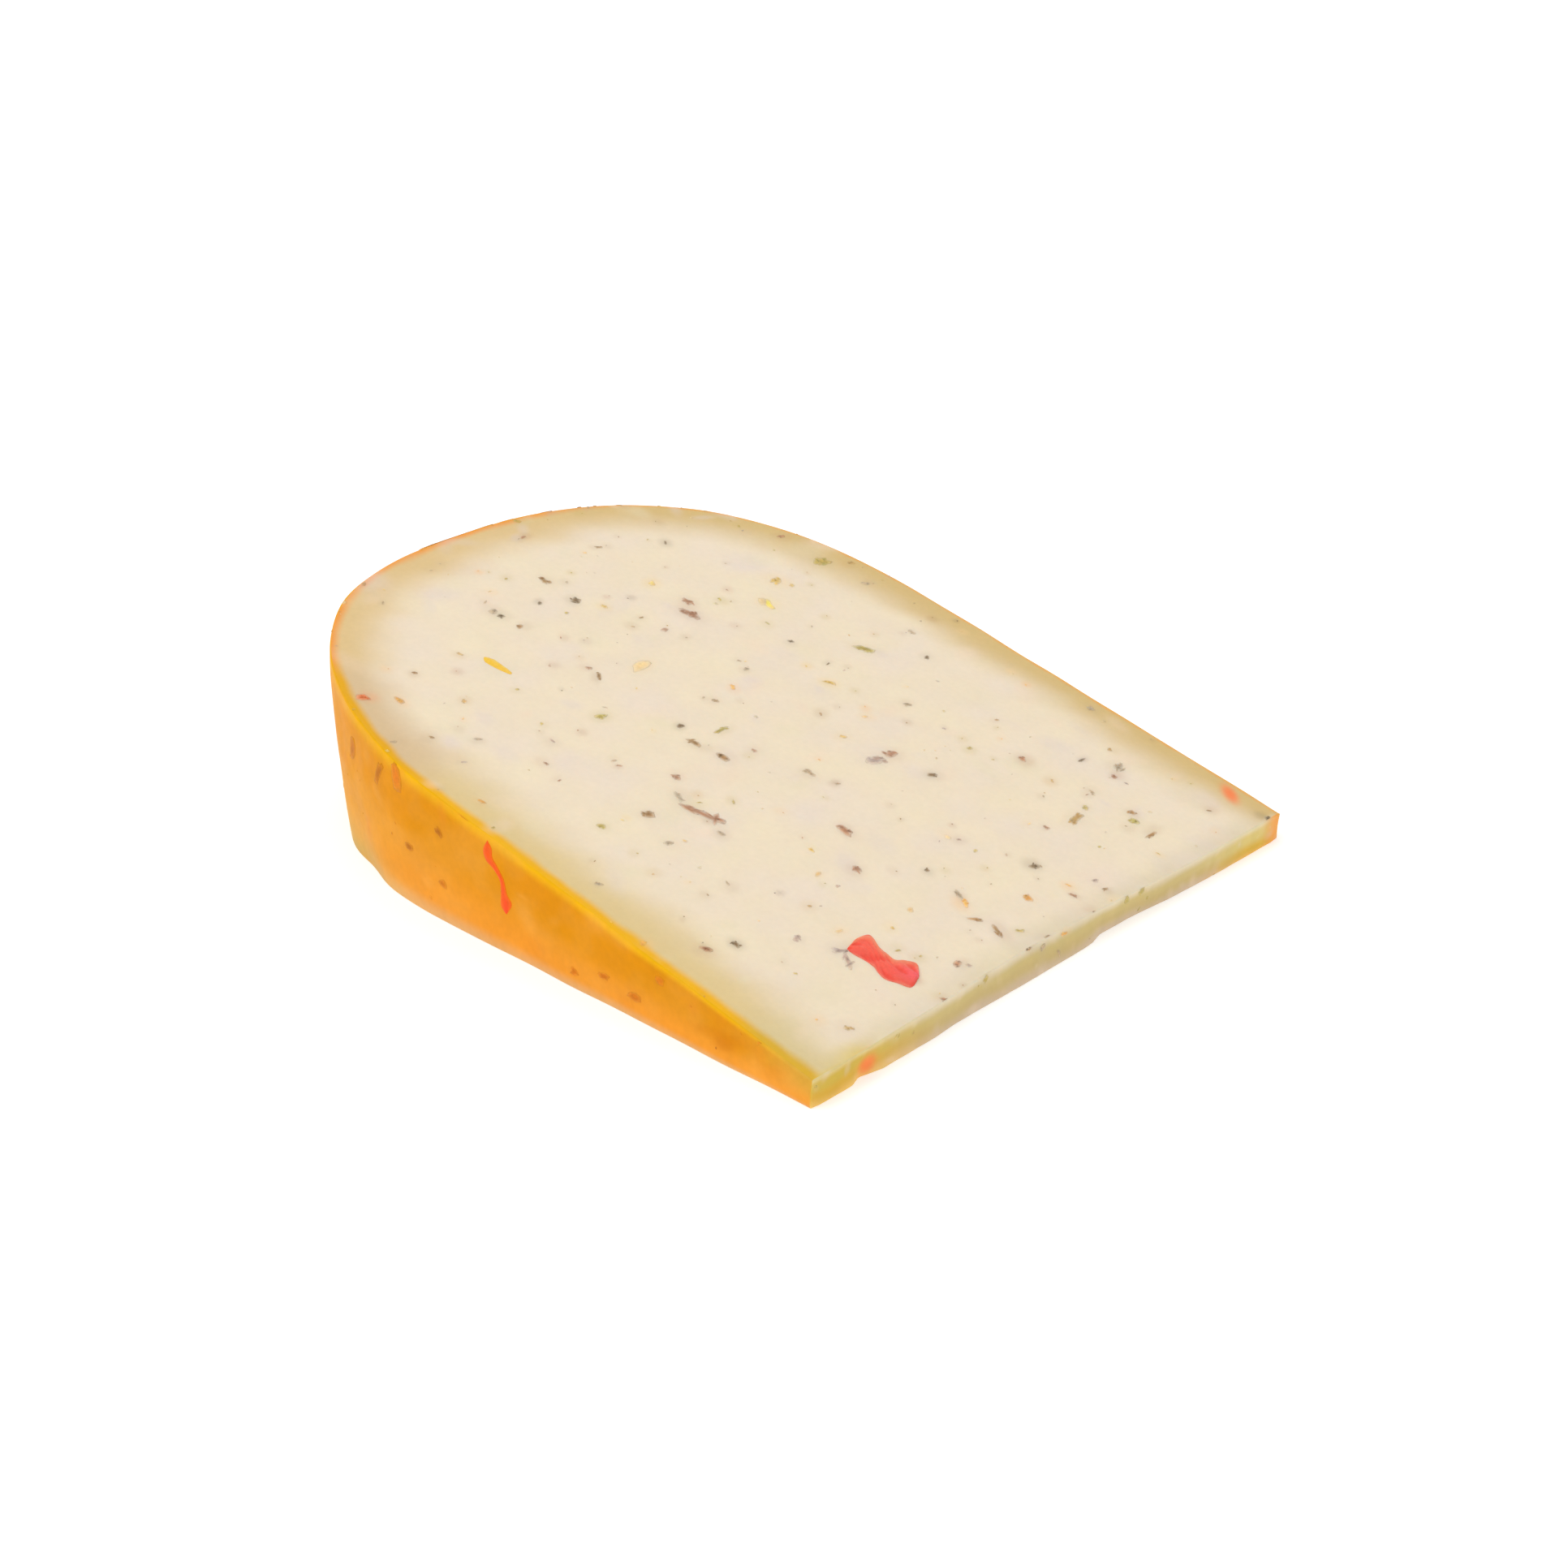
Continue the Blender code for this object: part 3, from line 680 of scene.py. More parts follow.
@dataclass
class Bits:
    """Many bits on one skin, as arrays with one row for each."""

    skin: Skin
    centre: Array
    half: Array
    turn: Array
    tone: list[Tone]
    depth: Array
    # Strewn bits: the least half length, and the width as a share of the length
    least_half = 0.14 * MM
    slimness = (0.35, 0.9)
    # How many more shards for each millimetre of the root of a bit's area, and how many at most
    shards_per_mm = 6.0
    most_shards = 8
    # In shares of the bit: how far off its shards lie, and their least and greatest sizes
    shard_offset = 0.8
    shard_sizes = ((0.18, 0.30), (0.45, 0.65))
    least_shard = 0.09 * MM
    # The first shard's size, for a bit that is whole and for the others
    whole_size = (1.02, 1.12)
    first_size = (0.88, 0.80)
    # How the shards differ in turn, in warmth and in brightness
    lean = 0.5
    warmth = 0.08
    brightness = (0.84, 1.14)

    @staticmethod
    def of(view: PhotoView, skin: Skin, marks: dict[str, Mark]) -> "Bits":
        """The bits among some marks, on the skin that carries them."""
        firm = [mark for mark in marks.values() if not mark.softness]
        centre, half, turn = measure(view, skin, firm)
        return Bits(skin, centre, half, turn, [mark.tone for mark in firm], np.zeros(len(firm)))

    @staticmethod
    def strewn(
        skin: Skin, places: Array, tones: tuple[Tone, ...], longest: float, buried: float,
        rng: np.random.Generator,
    ) -> "Bits":
        """Small bits at given places, more of them short than long.

        Args:
            skin: the surface that carries them.
            places: rows of its two coordinates.
            tones: the tones to draw from.
            longest: the greatest half length.
            buried: the greatest share of a bit's colour that the surface hides.
            rng: the source of chance.

        Returns:
            The bits. A half length is the least one plus the rest times a chance number squared.
        """
        count = len(places)
        least = Bits.least_half
        length = least + (longest - least) * rng.random(count) ** 2
        half = np.stack([length, length * rng.uniform(*Bits.slimness, count)], axis=1)
        chosen = [tones[index] for index in rng.integers(0, len(tones), count)]
        turn = rng.uniform(0.0, math.pi, count)
        return Bits(skin, places, half, turn, chosen, rng.uniform(0.0, buried, count))

    def of_kind(self, kind: Kind) -> "Bits":
        """The bits of one kind."""
        chosen = np.array([tone.value.kind is kind for tone in self.tone], bool)
        tones = [tone for tone in self.tone if tone.value.kind is kind]
        part = [values[chosen] for values in (self.centre, self.half, self.turn, self.depth)]
        return Bits(self.skin, part[0], part[1], part[2], tones, part[3])

    def shards(self, rng: np.random.Generator) -> tuple["Bits", Array]:
        """Breaks the bits up into overlapping shards of unlike shades.

        A bit keeps one shard of nearly its size. The larger it is, the more smaller shards
        lie over and beside that one, unless its tone says that it is whole.

        Args:
            rng: the source of chance.

        Returns:
            The shards, and rows with the shade of each.
        """
        area = self.half[:, 0] * self.half[:, 1] / MM**2
        more = np.clip(np.round(np.sqrt(area) * self.shards_per_mm), 0, self.most_shards).astype(int)
        whole = np.array([tone.value.whole for tone in self.tone], bool)
        owner = np.repeat(np.arange(len(whole)), 1 + np.where(whole, 0, more))
        lead = np.diff(owner, prepend=-1) > 0
        count = len(owner)
        offset = rng.uniform(-self.shard_offset, self.shard_offset, (count, 2)) * self.half[owner]
        size = self.half[owner] * rng.uniform(*self.shard_sizes, (count, 2))
        size = np.maximum(size, self.least_shard)
        offset[lead] = 0.0
        size[lead] = self.half * np.where(whole[:, None], self.whole_size, self.first_size)
        turn = self.turn[owner]
        cosine, sine = np.cos(turn), np.sin(turn)
        moved = np.stack([
            offset[:, 0] * cosine - offset[:, 1] * sine, offset[:, 0] * sine + offset[:, 1] * cosine
        ], axis=1)
        lean = np.where(lead, 0.0, rng.normal(0.0, self.lean, count))
        tones = [self.tone[bit] for bit in owner]
        colours = np.array([shown(*tone.value.colour) for tone in tones])
        warmth = rng.uniform(-self.warmth, self.warmth, (count, 1)) * (1.0, 0.0, -1.0)
        shades = colours * rng.uniform(*self.brightness, (count, 1)) * (1.0 + warmth)
        broken = Bits(
            self.skin, self.centre[owner] + moved, size, turn + lean, tones, self.depth[owner]
        )
        return broken, shades


def measure(view: PhotoView, skin: Skin, marks: list[Mark]) -> tuple[Array, Array, Array]:
    """Turns marks on the photograph into places on a skin.

    Args:
        view: the photograph's camera.
        skin: the surface that carries the marks.
        marks: what was listed.

    Returns:
        Rows of the marks' centres, rows of their half lengths and half widths, and their turns
        from the skin's first coordinate, all on the skin.
    """
    start = np.array([mark.start for mark in marks], float)
    end = np.array([mark.end for mark in marks], float)
    width = np.array([mark.width for mark in marks], float)
    run = end - start
    aside = np.stack([-run[:, 1], run[:, 0]], axis=1)
    aside = aside / np.linalg.norm(aside, axis=1, keepdims=True) * width[:, None] / 2
    middle = (start + end) / 2
    found = view.find(skin, np.concatenate([start, end, middle - aside, middle + aside]))
    first, last, left, right = np.split(found, 4)
    length = np.linalg.norm(last - first, axis=1)
    heading = (last - first) / length[:, None]
    across = right - left
    breadth = np.abs(across[:, 1] * heading[:, 0] - across[:, 0] * heading[:, 1])
    half = np.stack([length, breadth], axis=1) / 2
    return (first + last) / 2, half, np.arctan2(heading[:, 1], heading[:, 0])


@dataclass
class Stains:
    """Soft patches of colour in a skin: rows of centres, half sizes, turns, colours, strengths."""

    centre: Array
    half: Array
    turn: Array
    colour: Array
    strength: Array
    # Round a bit, in shares of the reach: how far to one side, and how far past the bit
    sideways = 0.45
    reaches = (0.5, 1.5)
    # How much strengths differ, and what is lost round a bit that the surface hides
    strengths = (0.5, 1.3)
    hidden_loss = 0.5
    # Strewn patches: the width as a share of the length, and the share of the greatest strength
    slimness = (0.35, 0.8)
    faintness = (0.25, 1.0)
    # How many half lengths a stain reaches
    farthest = 2.0

    @staticmethod
    def of(view: PhotoView, skin: Skin, marks: dict[str, Mark]) -> "Stains":
        """The soft patches among some marks, on the skin that carries them."""
        soft = [mark for mark in marks.values() if mark.softness]
        centre, half, turn = measure(view, skin, soft)
        colour = np.array([shown(*mark.tone.value.colour) for mark in soft])
        return Stains(centre, half, turn, colour, np.array([mark.softness for mark in soft]))

    @staticmethod
    def round(bits: Bits, reach: float, rng: np.random.Generator) -> "Stains":
        """The stains round some bits, which reach past them, further to one side than the other."""
        count = len(bits.centre)
        aside = rng.normal(0.0, reach * Stains.sideways, (count, 2))
        half = bits.half + reach * rng.uniform(*Stains.reaches, (count, 1))
        colour = np.array([shown(*tone.value.colour) for tone in bits.tone])
        strength = np.array([tone.value.stain for tone in bits.tone])
        strength = strength * rng.uniform(*Stains.strengths, count)
        strength = strength * (1.0 - Stains.hidden_loss * bits.depth)
        return Stains(bits.centre + aside, half, bits.turn, colour, strength)

    @staticmethod
    def strewn(
        places: Array, sizes: tuple[float, float], colours: tuple, most: float,
        rng: np.random.Generator,
    ) -> "Stains":
        """Faint patches at given places.

        Args:
            places: rows of a skin's two coordinates.
            sizes: the least and the greatest half length.
            colours: the colours to draw from, as shown.
            most: the greatest strength.
            rng: the source of chance.

        Returns:
            The patches.
        """
        count = len(places)
        length = rng.uniform(*sizes, count)
        half = np.stack([length, length * rng.uniform(*Stains.slimness, count)], axis=1)
        chosen = np.array([shown(*colours[index]) for index in rng.integers(0, len(colours), count)])
        turn = rng.uniform(0.0, math.pi, count)
        return Stains(places, half, turn, chosen, rng.uniform(*Stains.faintness, count) * most)

    def soak(self, tone: Array, first: Array, second: Array) -> Array:
        """Lays the stains over a skin's colours, one after another.

        A stain's share is its strength times exp(-d^3), with d the distance from its middle in
        half lengths and half widths.

        Args:
            tone: the colours, with a last axis of three.
            first, second: the points' coordinates on the skin.

        Returns:
            The stained colours.
        """
        tone = tone.copy()
        rows = zip(self.centre, self.half, self.turn, self.colour, self.strength)
        for centre, half, turn, colour, strength in rows:
            near = np.hypot(first - centre[0], second - centre[1]) < self.farthest * half.max()
            x = first[near] - centre[0]
            y = second[near] - centre[1]
            length = (x * math.cos(turn) + y * math.sin(turn)) / half[0]
            width = (y * math.cos(turn) - x * math.sin(turn)) / half[1]
            share = strength * np.exp(-((length**2 + width**2) ** 1.5))
            tone[near] = mix(tone[near], colour, share)
        return tone


@dataclass(frozen=True)
class Border:
    """How paste looks beside the rind: a line of strong colour, a band, then plain paste."""

    line: tuple[int, int, int]
    band: tuple[int, int, int]
    line_end: float
    band_from: float
    paste_from: float

    def at(self, distance: Array, paste: Array) -> Array:
        """The linear colours at distances from the rind, with an eased step between two parts."""
        to_band = ease((distance - self.line_end) / (self.band_from - self.line_end))
        to_paste = ease((distance - self.band_from) / (self.paste_from - self.band_from))
        return mix(mix(shown(*self.line), shown(*self.band), to_band), paste, to_paste)


@dataclass(frozen=True)
class PasteTones:
    """The cut face's colours: yellow under the rind, and paler with the distance from it."""

    near: Border = Border((240, 180, 10), (225, 200, 145), 0.7 * MM, 2.3 * MM, 13.5 * MM)
    near_tip: Border = Border((220, 175, 45), (220, 200, 150), 0.7 * MM, 2.6 * MM, 13 * MM)
    near_shoulder: Border = Border((230, 170, 10), (218, 190, 148), 0.7 * MM, 2.2 * MM, 12 * MM)
    rim: Border = Border((240, 155, 60), (225, 195, 140), 0.0, 2 * MM, 13 * MM)
    far: Border = Border((230, 165, 80), (216, 186, 125), 0.0, 1 * MM, 12 * MM)
    paste: tuple[int, int, int] = (240, 223, 196)
    tip_edge: tuple[int, int, int] = (225, 210, 180)
    tip_edge_width: float = 5 * MM
    tip_corner: tuple[int, int, int] = (220, 195, 105)
    tip_corner_width: float = 4 * MM
    corner_across: float = -36 * MM
    corner_length: float = 10 * MM
    tip_reach: float = 14 * MM
    near_tip_from: float = 9 * MM
    near_tip_length: float = 8 * MM
    shoulder_from: float = 74 * MM
    shoulder_length: float = 14 * MM
    near_until: float = 114 * MM
    near_fading: float = 8 * MM
    # The tip's colours set in over this way from the rind, and along its very edge sooner but weaker
    tip_from_rind: float = 9 * MM
    tip_delay: float = 0.2
    line_reach: float = 1.2 * MM
    line_from_rind: float = 2 * MM
    line_strength: float = 0.6
    # How sharply the sides pass to the rim, and how far round each side's border begins
    side_slope: float = 1.6
    near_begins: float = 0.35
    far_begins: float = 0.10
    # What makes the distance from the rind wavy, the broad waves less so beside it
    broad: Waves = Waves(seed=21, height=0.8 * MM, shortest=6 * MM, longest=22 * MM)
    fine: Waves = Waves(seed=22, height=0.10 * MM, shortest=2 * MM, longest=9 * MM)
    broad_from: float = 7 * MM
    # The inner paste is mottled towards lilac and cream
    mottling: Waves = Waves(seed=23, height=1.0, shortest=7 * MM, longest=30 * MM)
    most_mottling: float = 1.5
    inner_from: float = 4 * MM
    inner_length: float = 8 * MM
    lilac: tuple[int, int, int] = (236, 220, 208)
    lilac_strength: float = 0.22
    cream: tuple[int, int, int] = (243, 228, 192)
    cream_strength: float = 0.20

    def at(self, outline: Outline, along: Array, across: Array) -> Array:
        """The cut face's colours before any stain.

        Args:
            outline: the cut outline.
            along, across: plan coordinates, one value for each point.

        Returns:
            Rows of linear colours. They go by the distance from the rind, a little wavy, by the
            border of the side that the nearest rind belongs to. Near the tip they go by the
            distance from the tip, as far as the rind's own border has run out.
        """
        distance, index = outline.nearest(along, across)
        soft = distance + self.broad.at(along, across) * ease(distance / self.broad_from)
        soft = np.maximum(soft + self.fine.at(along, across), 0.0)
        side = outline.across[index] / (outline.wheel.height / 2) * self.side_slope
        foot = outline.along[index]
        near_share = ease(-side - self.near_begins) * ease((self.near_until - foot) / self.near_fading)
        shoulder = ease((foot - self.shoulder_from) / self.shoulder_length)
        tip_end = ease(1.0 - (foot - self.near_tip_from) / self.near_tip_length)
        paste = shown(*self.paste)
        near = mix(self.near.at(soft, paste), self.near_shoulder.at(soft, paste), shoulder)
        near = mix(near, self.near_tip.at(soft, paste), tip_end)
        tone = mix(self.rim.at(soft, paste), near, near_share)
        tone = mix(tone, self.far.at(soft, paste), ease(side - self.far_begins))
        from_tip = along - outline.wheel.tip_recess(across, np.ones_like(across))
        share = ease(1.0 - from_tip / self.tip_reach)
        share = share * ease(distance / self.tip_from_rind - self.tip_delay)
        line = ease(1.0 - from_tip / self.line_reach) * ease(distance / self.line_from_rind)
        share = np.maximum(share, line * self.line_strength)
        corner = ease((self.corner_across - across) / self.corner_length)
        tip = mix(shown(*self.tip_edge), paste, ease(from_tip / self.tip_edge_width))
        gold = mix(shown(*self.tip_corner), paste, ease(from_tip / self.tip_corner_width))
        tone = mix(tone, mix(tip, gold, corner), share)
        inner = ease((distance - self.inner_from) / self.inner_length)
        patchy = self.mottling.at(along, across)
        lilac = np.clip(patchy, 0.0, self.most_mottling) * self.lilac_strength * inner
        cream = np.clip(-patchy, 0.0, self.most_mottling) * self.cream_strength * inner
        return mix(mix(tone, shown(*self.lilac), lilac), shown(*self.cream), cream)


@dataclass(frozen=True)
class Climb:
    """A wall's colours from the floor up: foot, lower part, upper part and upper edge."""

    foot: tuple[int, int, int]
    lower: tuple[int, int, int]
    upper: tuple[int, int, int]
    edge: tuple[int, int, int]
    foot_end: float = 0.15
    upper_from: float = 0.6
    edge_from: float = 0.88

    def at(self, share: Array) -> Array:
        """The linear colours at shares of the height, with an eased step between two parts."""
        to_upper = (share - self.foot_end) / (self.upper_from - self.foot_end)
        tone = mix(shown(*self.foot), shown(*self.lower), ease(share / self.foot_end))
        tone = mix(tone, shown(*self.upper), ease(to_upper))
        return mix(tone, shown(*self.edge), ease((share - self.edge_from) / (1.0 - self.edge_from)))


@dataclass(frozen=True)
class RindTones:
    """The coating's colours, with painted light and shade over its own orange: those of the straight
    side, the shoulder and rim, and the tip's end.
    """

    # Painted light and shade in these climbs: the paler foot stands in for light bounced up from the
    # floor, the deeper upper part for shade on the wall, and the upper edge, yellow of its own, is made
    # lighter still to make up for shade on the rounded edge
    side: Climb = Climb((225, 175, 115), (238, 155, 45), (220, 142, 0), (238, 178, 10))
    shoulder: Climb = Climb((205, 168, 90), (225, 157, 48), (224, 148, 12), (233, 170, 8), 0.3, 0.7)
    tip_end: Climb = Climb((230, 166, 100), (240, 162, 58), (214, 166, 58), (214, 175, 70), 0.15, 0.8)
    shoulder_from: float = 78 * MM
    shoulder_length: float = 26 * MM
    tip_length: float = 16 * MM
    pale: tuple[int, int, int] = (236, 170, 76)
    deep: tuple[int, int, int] = (216, 130, 12)
    # Broad waves, closer together upwards, mottle towards both shades, and small ones to the pale
    broad: Waves = Waves(seed=31, height=1.0, shortest=14 * MM, longest=50 * MM)
    upright: float = 1.6
    broad_pale: float = 0.18
    broad_deep: float = 0.16
    small: Waves = Waves(seed=32, height=1.0, shortest=4 * MM, longest=12 * MM)
    small_pale: float = 0.10

    def at(self, outline: Outline, travel: Array, height: Array) -> Array:
        """The coating's colours before any stain.

        Args:
            outline: the cut outline.
            travel: the way travelled along it.
            height: the height above the floor.

        Returns:
            Linear colours with a last axis of three: the climb of the straight side, of its end
            at the tip or of the rounded shoulder and rim, by the way from the nearer tip corner,
            mottled towards a pale and a deep shade by two sets of waves.
        """
        along = np.interp(travel, outline.travel, outline.along)
        share = height / outline.wheel.wall_height(along)
        turned = ease((along - self.shoulder_from) / self.shoulder_length)
        tone = mix(self.side.at(share), self.shoulder.at(share), turned)
        tone = mix(tone, self.tip_end.at(share), ease(1.0 - along / self.tip_length))
        broad = self.broad.at(travel, height * self.upright)
        small = self.small.at(travel, height)
        tone = mix(tone, shown(*self.pale), np.clip(broad, 0.0, 1.0) * self.broad_pale)
        tone = mix(tone, shown(*self.deep), np.clip(-broad, 0.0, 1.0) * self.broad_deep)
        return mix(tone, shown(*self.pale), np.clip(small, 0.0, 1.0) * self.small_pale)


@dataclass(frozen=True)
class TipTones:
    """The tip cut's colours: tan in the middle, golden at both ends, orange at the far corner."""

    middle: Climb = Climb((210, 187, 158), (203, 179, 120), (206, 184, 122), (226, 212, 184),
                          0.4, 0.6, 0.62)
    near_end: Climb = Climb((241, 197, 108), (218, 173, 60), (209, 177, 68), (220, 200, 140),
                            0.4, 0.65, 0.75)
    far_end: Climb = Climb((240, 188, 96), (220, 178, 66), (219, 196, 118), (225, 211, 174),
                           0.25, 0.62, 0.72)
    far_corner: tuple[int, int, int] = (238, 163, 78)
    near_from: float = -24 * MM
    near_length: float = 22 * MM
    far_from: float = 29 * MM
    far_length: float = 17 * MM
    corner_from: float = 48 * MM
    corner_length: float = 4.5 * MM
    wobble: Waves = Waves(seed=41, height=0.05, shortest=4 * MM, longest=16 * MM)
    streaks: Waves = Waves(seed=42, height=0.012, shortest=0.8 * MM, longest=4 * MM)
    upright: float = 0.1

    def at(self, outline: Outline, across: Array, height: Array) -> Array:
        """The tip cut's colours before any stain.

        Args:
            outline: the cut outline.
            across: from near to far.
            height: the height above the floor.

        Returns:
            Linear colours with a last axis of three: by the share of the height, a little wavy,
            from the middle's climb to each end's, with faint upright streaks.
        """
        share = height / outline.wheel.tip_height
        wobble = self.wobble.at(across, height)
        share = np.clip(share + wobble * ease(2.0 - 2.0 * share), 0.0, 1.0)
        to_near = ease((self.near_from - across) / self.near_length)
        tone = mix(self.middle.at(share), self.near_end.at(share), to_near)
        tone = mix(tone, self.far_end.at(share), ease((across - self.far_from) / self.far_length))
        to_corner = ease((across - self.corner_from) / self.corner_length)
        tone = mix(tone, shown(*self.far_corner), to_corner)
        return tone * (1.0 + self.streaks.at(across, height * self.upright))[..., None]


class Nodes:
    """A material's node tree, with short calls for the nodes that these finishes use."""

    def __init__(self, name: str) -> None:
        """Makes the material and keeps its shader."""
        self.material = bpy.data.materials.new(name)
        self.material.use_nodes = True
        self.tree = self.material.node_tree
        self.shader = self.tree.nodes["Principled BSDF"]

    def new(self, kind: str, **inputs: float) -> bpy.types.Node:
        """Adds a node and sets its input sockets by name."""
        node = self.tree.nodes.new(kind)
        for name, value in inputs.items():
            node.inputs[name.replace("_", " ")].default_value = value
        return node

    def link(self, output: bpy.types.NodeSocket, target: bpy.types.NodeSocket) -> None:
        """Joins two sockets."""
        self.tree.links.new(output, target)

    def tone(self) -> bpy.types.NodeSocket:
        """The colour attribute that the piece's mesh holds."""
        node = self.tree.nodes.new("ShaderNodeAttribute")
        node.attribute_name = TONE
        return node.outputs["Color"]

    def noise(self, size: float, detail: float, stretch: tuple = (1.0, 1.0, 1.0)) -> bpy.types.NodeSocket:
        """Noise on the piece's own coordinates, with features of about `size` metres."""
        place = self.tree.nodes.new("ShaderNodeTexCoord")
        mapping = self.new("ShaderNodeMapping", Scale=stretch)
        noise = self.new("ShaderNodeTexNoise", Scale=1.0 / size, Detail=detail, Roughness=0.55)
        self.link(place.outputs["Object"], mapping.inputs["Vector"])
        self.link(mapping.outputs["Vector"], noise.inputs["Vector"])
        return noise.outputs["Fac"]

    def spread(self, value: bpy.types.NodeSocket, low: float, high: float) -> bpy.types.NodeSocket:
        """Maps the middle of a noise's range, 0.3 to 0.7, to a range of its own."""
        node = self.new("ShaderNodeMapRange", From_Min=0.3, From_Max=0.7, To_Min=low, To_Max=high)
        self.link(value, node.inputs["Value"])
        return node.outputs["Result"]

    def shaded(
        self, colour: bpy.types.NodeSocket, value: bpy.types.NodeSocket, low: float, high: float
    ) -> bpy.types.NodeSocket:
        """A colour with its brightness multiplied by a noise that runs from low to high."""
        node = self.new("ShaderNodeVectorMath")
        node.operation = "SCALE"
        self.link(colour, node.inputs[0])
        self.link(self.spread(value, low, high), node.inputs["Scale"])
        return node.outputs["Vector"]

    def bump(self, height: bpy.types.NodeSocket, strength: float, distance: float) -> None:
        """Sets the shader's normal from a height, `distance` metres deep."""
        node = self.new("ShaderNodeBump", Strength=strength, Distance=distance)
        self.link(height, node.inputs["Height"])
        self.link(node.outputs["Normal"], self.shader.inputs["Normal"])

    def set(self, **inputs: object) -> None:
        """Sets the shader's own sockets."""
        for name, value in inputs.items():
            self.shader.inputs[name.replace("_", " ")].default_value = value


@dataclass(frozen=True)
class PasteFinish:
    """Cut cheese: smooth, slightly moist, with light going a little way in."""

    roughness: tuple[float, float] = (0.46, 0.60)
    depth: float = 1.8 * MM

    def build(self) -> bpy.types.Material:
        """Makes the material: the mesh's tones, mottled, over a soft, faintly grained surface."""
        nodes = Nodes("cheese_paste")
        mottle = nodes.noise(size=6 * MM, detail=3.0)
        grain = nodes.noise(size=0.9 * MM, detail=2.0)
        mottled = nodes.shaded(nodes.tone(), mottle, low=0.985, high=1.015)
        grained = nodes.shaded(mottled, grain, low=0.985, high=1.015)
        nodes.link(grained, nodes.shader.inputs["Base Color"])
        rough = nodes.spread(nodes.noise(size=5 * MM, detail=4.0), *self.roughness)
        nodes.link(rough, nodes.shader.inputs["Roughness"])
        nodes.bump(nodes.noise(size=0.8 * MM, detail=3.0), strength=0.25, distance=0.05 * MM)
        nodes.set(
            Subsurface_Weight=0.25,
            Subsurface_Radius=(1.0, 0.65, 0.40),
            Subsurface_Scale=self.depth,
            Specular_IOR_Level=0.18,
        )
        return nodes.material


@dataclass(frozen=True)
class CoatingFinish:
    """The rind's coating: a satin, slightly see-through skin with a fine unevenness."""

    roughness: tuple[float, float] = (0.42, 0.56)

    def build(self) -> bpy.types.Material:
        """Makes the material: the mesh's tones, mottled and satin."""
        nodes = Nodes("rind_coating")
        mottle = nodes.noise(size=7 * MM, detail=4.0)
        grain = nodes.noise(size=1.2 * MM, detail=2.0)
        mottled = nodes.shaded(nodes.tone(), mottle, low=0.96, high=1.04)
        grained = nodes.shaded(mottled, grain, low=0.97, high=1.03)
        nodes.link(grained, nodes.shader.inputs["Base Color"])
        rough = nodes.spread(nodes.noise(size=4 * MM, detail=3.0), *self.roughness)
        nodes.link(rough, nodes.shader.inputs["Roughness"])
        nodes.bump(nodes.noise(size=1.6 * MM, detail=2.0), strength=0.3, distance=0.10 * MM)
        nodes.set(Specular_IOR_Level=0.05)
        return nodes.material


@dataclass(frozen=True)
class BitFinish:
    """Herb or chili flesh: the mesh's tones with a fine fibre, dull or moist."""

    name: str
    roughness: float
    contrast: float
    fibre: float = 0.5 * MM

    def build(self) -> bpy.types.Material:
        """Makes the material."""
        nodes = Nodes(self.name)
        noise = nodes.noise(size=self.fibre, detail=3.0)
        toned = nodes.shaded(nodes.tone(), noise, 1.0 - self.contrast, 1.0 + self.contrast)
        nodes.link(toned, nodes.shader.inputs["Base Color"])
        nodes.bump(noise, strength=0.4, distance=0.08 * MM)
        nodes.set(
            Roughness=self.roughness,
            Subsurface_Weight=0.15,
            Subsurface_Radius=(1.0, 0.5, 0.3),
            Subsurface_Scale=0.8 * MM,
            Specular_IOR_Level=0.12,
        )
        return nodes.material


@dataclass
class Patch:
    """Part of a mesh: rows of points, faces as lists of indices, and rows of colours."""

    points: Array
    faces: list
    tones: Array

    @staticmethod
    def joined(patches: list["Patch"]) -> "Patch":
        """One patch made of several, with the faces' indices moved on."""
        start = 0
        faces = []
        for patch in patches:
            faces += [[corner + start for corner in face] for face in patch.faces]
            start += len(patch.points)
        points = np.concatenate([patch.points for patch in patches])
        return Patch(points, faces, np.concatenate([patch.tones for patch in patches]))


@dataclass
class Ground:
    """The wedge's own colours: each skin's tones with all its stains."""

    outline: Outline
    stains: dict[type, list[Stains]]
    paste: PasteTones = PasteTones()
    coating: RindTones = RindTones()
    tip: TipTones = TipTones()

    def tone(self, kind: type, first: Array, second: Array) -> Array:
        """The colours of one skin.

        Args:
            kind: the skin's class.
            first, second: its coordinates, flat arrays for the cut face.

        Returns:
            Linear colours with a last axis of three.
        """
        tones = {CutFace: self.paste, Rind: self.coating, TipCut: self.tip}[kind]
        colours = tones.at(self.outline, first, second)
        for stain in self.stains[kind]:
            colours = stain.soak(colours, first, second)
        return colours

    def at(self, skin: Skin, places: Array) -> Array:
        """Rows of colours at rows of a skin's coordinates."""
        return self.tone(type(skin), *skin.keep(places[:, 0], places[:, 1]))


